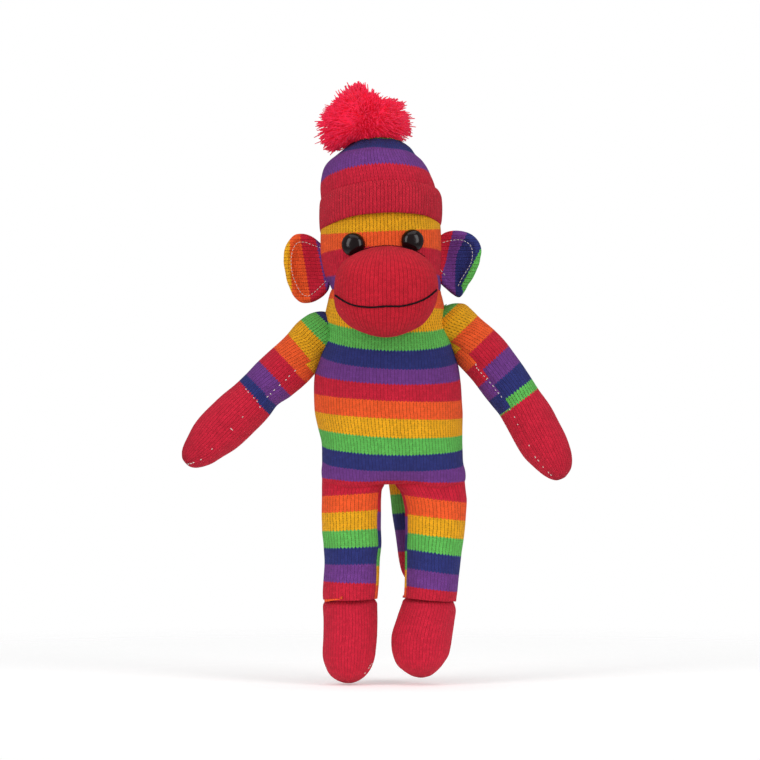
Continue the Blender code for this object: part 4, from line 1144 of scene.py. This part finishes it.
# legs and feet; strip is the strip of cloth along the seam that is sewn in the other way up
legShape = {"rows": 84, "columns": 64, "wales": 48, "seamDepth": 0.9, "lump": 0.0007,
            "rootAngles": (10, 30, 52, 72),
            "ankleAngles": (57, 42, 26, 10), "depthAt": (474, 500), "depths": (17.8, 19.3)}
legs = {
    "right": {
        "seam": 66.0, "strip": {"from": 0.0, "to": 0.17, "mirror": 32.3},
        "root": (351.7, 473.8, 29.6), "ankle": (350.6, 615.6, 31.6),
        "edges": [(321.8, 476, 385.6, 476, 12.4), (321.5, 486, 384.6, 485, 12.6),
                  (321.5, 494.5, 382, 490.5, 13.0),
                  (321.8, 511.2, 381, 507.4, 14.0), (322, 529.4, 381, 526.4, 15.0),
                  (323.8, 546.4, 381.5, 544.2, 16.0),
                  (324.5, 562.6, 380, 561.4, 17.0), (323.2, 579.4, 379, 581.4, 18.0),
                  (322.6, 595.4, 378, 594.6, 18.85),
                  (323.2, 600.4, 377.4, 599.4, 19.1)]},
    "left": {
        "seam": -71.0, "strip": {"from": 0.84, "to": 1.0, "mirror": 32.3},
        "root": (435.3, 473.8, 29.6), "ankle": (428.6, 615.2, 31.6),
        "edges": [(391.6, 475, 464.6, 477, 12.4), (395.4, 486, 465.6, 490, 12.6),
                  (400.5, 493, 466.6, 501, 13.0),
                  (405.2, 512, 465.2, 519, 14.0), (405.4, 530.6, 463.6, 537.4, 15.0),
                  (405, 546.6, 461.2, 554.4, 16.0),
                  (405, 565.4, 459.6, 573, 17.0), (404.5, 584, 458, 590.8, 18.0),
                  (404, 593, 456.6, 598.6, 18.7),
                  (403.4, 597, 456, 602.8, 18.95)]},
}
footShape = {"rows": 56, "columns": 64, "wales": 52, "seamDepth": 0.5, "lump": 0.0009, "fullness": 1.02,
             "deepest": 17.9}
feet = {
    "right": {
        "ball": (350.6, 615.6, 29.2), "rootAngles": (10, 30, 48, 59),
        "stitches": [(371.8, 663.6, 1.6), (369.8, 665.4, 1.6), (368.5, 667.7, 1.4), (364.7, 673, 1.4)],
              "edges": [(322.8, 605, 377.4, 603.5, 0), (323.4, 621, 378.2, 620, 1), (323, 640, 377.6, 638, 2),
                        (322.8, 655, 376, 653, 2.8), (325.6, 667, 373, 665.5, 3.4),
                        (330, 675.4, 367, 675, 3.9),
                        (337.6, 681.2, 358.4, 681.2, 4.2), (344, 683.6, 352, 683.6, 4.4)]},
    "left": {"ball": (428.6, 615.2, 29.0), "rootAngles": (10, 30, 48, 57),
             "edges": [(402.6, 601, 455.6, 607, 0), (397, 616.5, 454.2, 621, 1), (391.6, 635, 451.8, 638, 2),
                       (391.6, 648, 449, 652, 2.8), (396.6, 664, 442.6, 664, 3.5),
                       (404, 671.2, 436.6, 671, 4.0),
                       (412, 676.4, 430, 676.2, 4.3), (418, 678.2, 424, 678.2, 4.4)]},
}
for side in ("right", "left"):
    leg, foot = legShape | legs[side], footShape | feet[side] | {"seam": legs[side]["seam"]}
    rings = domeRings(*leg["root"], leg["rootAngles"], (0, 1), (12.05, 12.1, 12.2, 12.3), deep=0.88)
    rings += edgeRings(leg["edges"], lambda half,
                       y: float(np.interp(y, legShape["depthAt"], legShape["depths"])))
    rings += domeRings(*leg["ankle"], leg["ankleAngles"], (0, 1), (19.3, 19.6, 19.9, 20.1), deep=0.94)
    limb("legCloth_" + side, rings, leg, cloths["leg"], "leg_" + side, "orange_cloth", 20)
    rings = domeRings(*foot["ball"], foot["rootAngles"], (0, 1), (-1.6, -1.2, -0.8, -0.4), deep=0.88)
    rings += edgeRings(foot["edges"], lambda half, y: min(footShape["deepest"], half * footShape["fullness"]))
    footCloth = limb("footCloth_" + side, rings, foot, cloths["foot"], "foot_" + side, "red_cloth", 30)
    if "stitches" in foot:
        toe = tubes("toeStitches_" + side, smallStitches(treeOf(footCloth), foot["stitches"]), 0.00028)
        dress(toe, whiteThread, "foot_" + side, slot="white_thread")

# an orange edge folded out of the right ankle's seam; radius, rise and flat are mm and a share
hem = {"line": [(323.6, 600.2), (326, 600.1), (331, 599.8), (336, 599.4), (340, 599.1)], "radius": (1.0, 0.3),
       "points": 30, "sides": 8, "rise": 0.4, "flat": 0.55, "wale": 2.4}
hemTree = treeOf(bpy.data.objects["legCloth_right"])
along = np.linspace(hem["line"][0][0], hem["line"][-1][0], hem["points"])
verts = []
for k, (x, y) in enumerate(smoothCurve([p[0] for p in hem["line"]], hem["line"], along)):
    hit, normal = onFront(hemTree, x, y)
    wide = np.interp(k, [0, hem["points"] - 1], hem["radius"]) * mm
    for a in np.linspace(0, 2 * math.pi, hem["sides"], endpoint=False):
        out = normal * (hem["rise"] * mm + hem["flat"] * wide * math.cos(a))
        verts.append(hit + out + np.array([0, 0, 1]) * wide * math.sin(a))
faces = ringFaces(hem["points"], hem["sides"])
maps = [[(verts[i][0] / (hem["wale"] * mm), 0.5) for i in face] for face in faces]
hemFold = meshObject("ankleHem_right", verts, faces, maps)
dress(hemFold, cloths["collar"], "leg_right", slot="orange_cloth")
print("legs made")

# cloth cups inside the joints
gusset = {"angles": (6, 14, 22), "stripes": (9.8, 10, 10.2), "outside": 1.02, "deep": 0.96, "rows": 20,
          "columns": 40,
          "wales": 36}
for side in ("right", "left"):
    for joint, limbAbove, cloth in (("hip", legs[side], "leg"), ("shoulder", arms[side], "tail")):
        x, y, radius = limbAbove["root"]
        ahead = limbAbove.get("ahead", (0, 1))
        rings = domeRings(x, y, radius * gusset["outside"], gusset["angles"], ahead, gusset["stripes"],
                          deep=gusset["deep"])
        rings += domeRings(x, y, radius, gusset["angles"][::-1], ahead, gusset["stripes"][::-1],
                           deep=gusset["deep"])
        points, stripe, angle = loftGrid(rings, gusset["rows"], gusset["columns"])
        cup = gridMesh("%sGusset_%s" % (joint, side), points, stripe, gusset["wales"])
        refine(cup)
        body = "%s_%s" % (joint, side)
        dress(cup, cloths[cloth], body, body, slot="red_cloth")
print("gussets made")

# tail
tail = {"rows": 64, "columns": 48, "wales": 33, "seam": 180.0, "seamDepth": 0.8, "lump": 0.0009, "tilt": 0.13,
        "fullness": 0.94, "stripeFrom": 490.7, "stripeHeight": 19.0,
        # middle x and y in the picture, back mm from the body's axis, half width mm
        "line": [(402, 431.5, 31.5, 2.6), (402.2, 433.5, 32.3, 7.0), (403, 440, 34.6, 11.0),
                 (405, 452, 38, 13.0), (407.6, 472, 43, 13.3), (409.6, 492, 47.5, 13.5),
                 (412, 512, 51, 13.3), (414.6, 532, 53.2, 13.1), (416.4, 552, 54, 12.8),
                 (417.4, 566, 53.6, 11.6), (417.8, 576, 53, 8.8), (418, 582.4, 52.6, 4.0)]}
rings = []
for x, y, back, half in tail["line"]:
    px = half * mm / photo["metre"]
    lift = tail["tilt"] * px
    deep = half * tail["fullness"]
    stripe = 3 + (y - tail["stripeFrom"]) / tail["stripeHeight"]
    rings.append((spot(x - px, y + lift, -back), spot(x + px, y - lift, -back), deep, deep, stripe))
limb("tailCloth", rings, tail, cloths["tail"], "tail", "yellow_cloth", 40)
print("tail made")

for side in ("left", "right"):  # the washers that hold the eyes, inside the head
    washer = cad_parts["eye_washer_" + side]
    washer.data.materials.clear()
    washer.data.materials.append(washerPlastic)

# floor, light and camera
stage = {"floorDrop": 0.001, "half": 1.6, "cells": 8, "fadeFrom": 0.2, "fadeTo": 0.7, "glow": 0.3,
         "skyLight": 0.34}
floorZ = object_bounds()[0][2] - stage["floorDrop"]
corners = np.linspace(-stage["half"], stage["half"], stage["cells"] + 1)
verts = [(x, y, floorZ) for x in corners for y in corners]
row = len(corners)
faces = [(i * row + j, i * row + j + 1, (i + 1) * row + j + 1, (i + 1) * row + j)
         for i in range(stage["cells"]) for j in range(stage["cells"])]
floor = meshObject("paleFloor", verts, faces)
paper, paperTree, paperShader = startMaterial("palePaper", 0.9)
paperGrain = fuzzNode(paperTree, 300.0, 1.5)
paperTint = tintFrom(paperTree, paperGrain.outputs["Tone"],
                     ((0.0, (0.9, 0.9, 0.9, 1)), (1.0, (0.94, 0.94, 0.94, 1))))
paperTree.links.new(paperTint, paperShader.inputs["Base Color"])
paperPlace = paperTree.nodes.new("ShaderNodeTexCoord")  # the floor fades out into the white round it
paperFar = paperTree.nodes.new("ShaderNodeVectorMath")
paperFar.operation = "LENGTH"
paperTree.links.new(paperPlace.outputs["Object"], paperFar.inputs[0])
paperFade = paperTree.nodes.new("ShaderNodeMapRange")
for name, value in (("From Min", stage["fadeFrom"]), ("From Max", stage["fadeTo"]), ("To Min", 1.0),
                    ("To Max", 0.0)):
    paperFade.inputs[name].default_value = value
paperTree.links.new(paperFar.outputs["Value"], paperFade.inputs["Value"])
paperTree.links.new(paperFade.outputs["Result"], paperShader.inputs["Alpha"])
paperShader.inputs["Emission Color"].default_value = (1, 1, 1, 1)
paperShader.inputs["Emission Strength"].default_value = stage["glow"]
floor.data.materials.append(paper)

lights = [
    ("softboxLeft", (-1.0, -1.05, 0.5), (0.6, 1.3), 9.6),
    ("softboxRight", (1.0, -1.05, 0.5), (0.6, 1.3), 9.6),
    ("overhead", (0.0, -0.2, 1.5), (1.6, 1.6), 9.0),
]
for name, where, size, power in lights:
    lamp = bpy.data.lights.new(name, "AREA")
    lamp.shape, lamp.size, lamp.size_y, lamp.energy = "RECTANGLE", size[0], size[1], power
    holder = bpy.data.objects.new(name, lamp)
    holder.location = where
    aim = Vector((0, photo["bodyY"], 0)) - Vector(where)
    holder.rotation_euler = aim.to_track_quat("-Z", "Y").to_euler()
    bpy.context.scene.collection.objects.link(holder)
world = bpy.data.worlds.new("softWorld")
world.use_nodes = True
air = world.node_tree
glow = air.nodes["Background"]  # lights the doll softly, and is plain white behind it
seen = air.nodes.new("ShaderNodeLightPath")
white = maths(air, "MULTIPLY", seen.outputs["Is Camera Ray"], 1 - stage["skyLight"])
level = maths(air, "ADD", white, stage["skyLight"])
glow.inputs["Color"].default_value = (1, 1, 1, 1)
air.links.new(level, glow.inputs["Strength"])
bpy.context.scene.world = world
bpy.context.scene.view_settings.view_transform = "Standard"

camera = bpy.data.cameras.new("camera")
camera.sensor_width = 36.0
camera.lens = camera.sensor_width * photo["away"] * mm / (photo["size"] * photo["metre"])
camera.clip_end = 50.0
eye = bpy.data.objects.new("camera", camera)
eye.location = spot(photo["lens"], photo["lens"], photo["away"])
eye.rotation_euler = (math.pi / 2, 0, 0)
bpy.context.scene.collection.objects.link(eye)
bpy.context.scene.camera = eye
print("stage made")
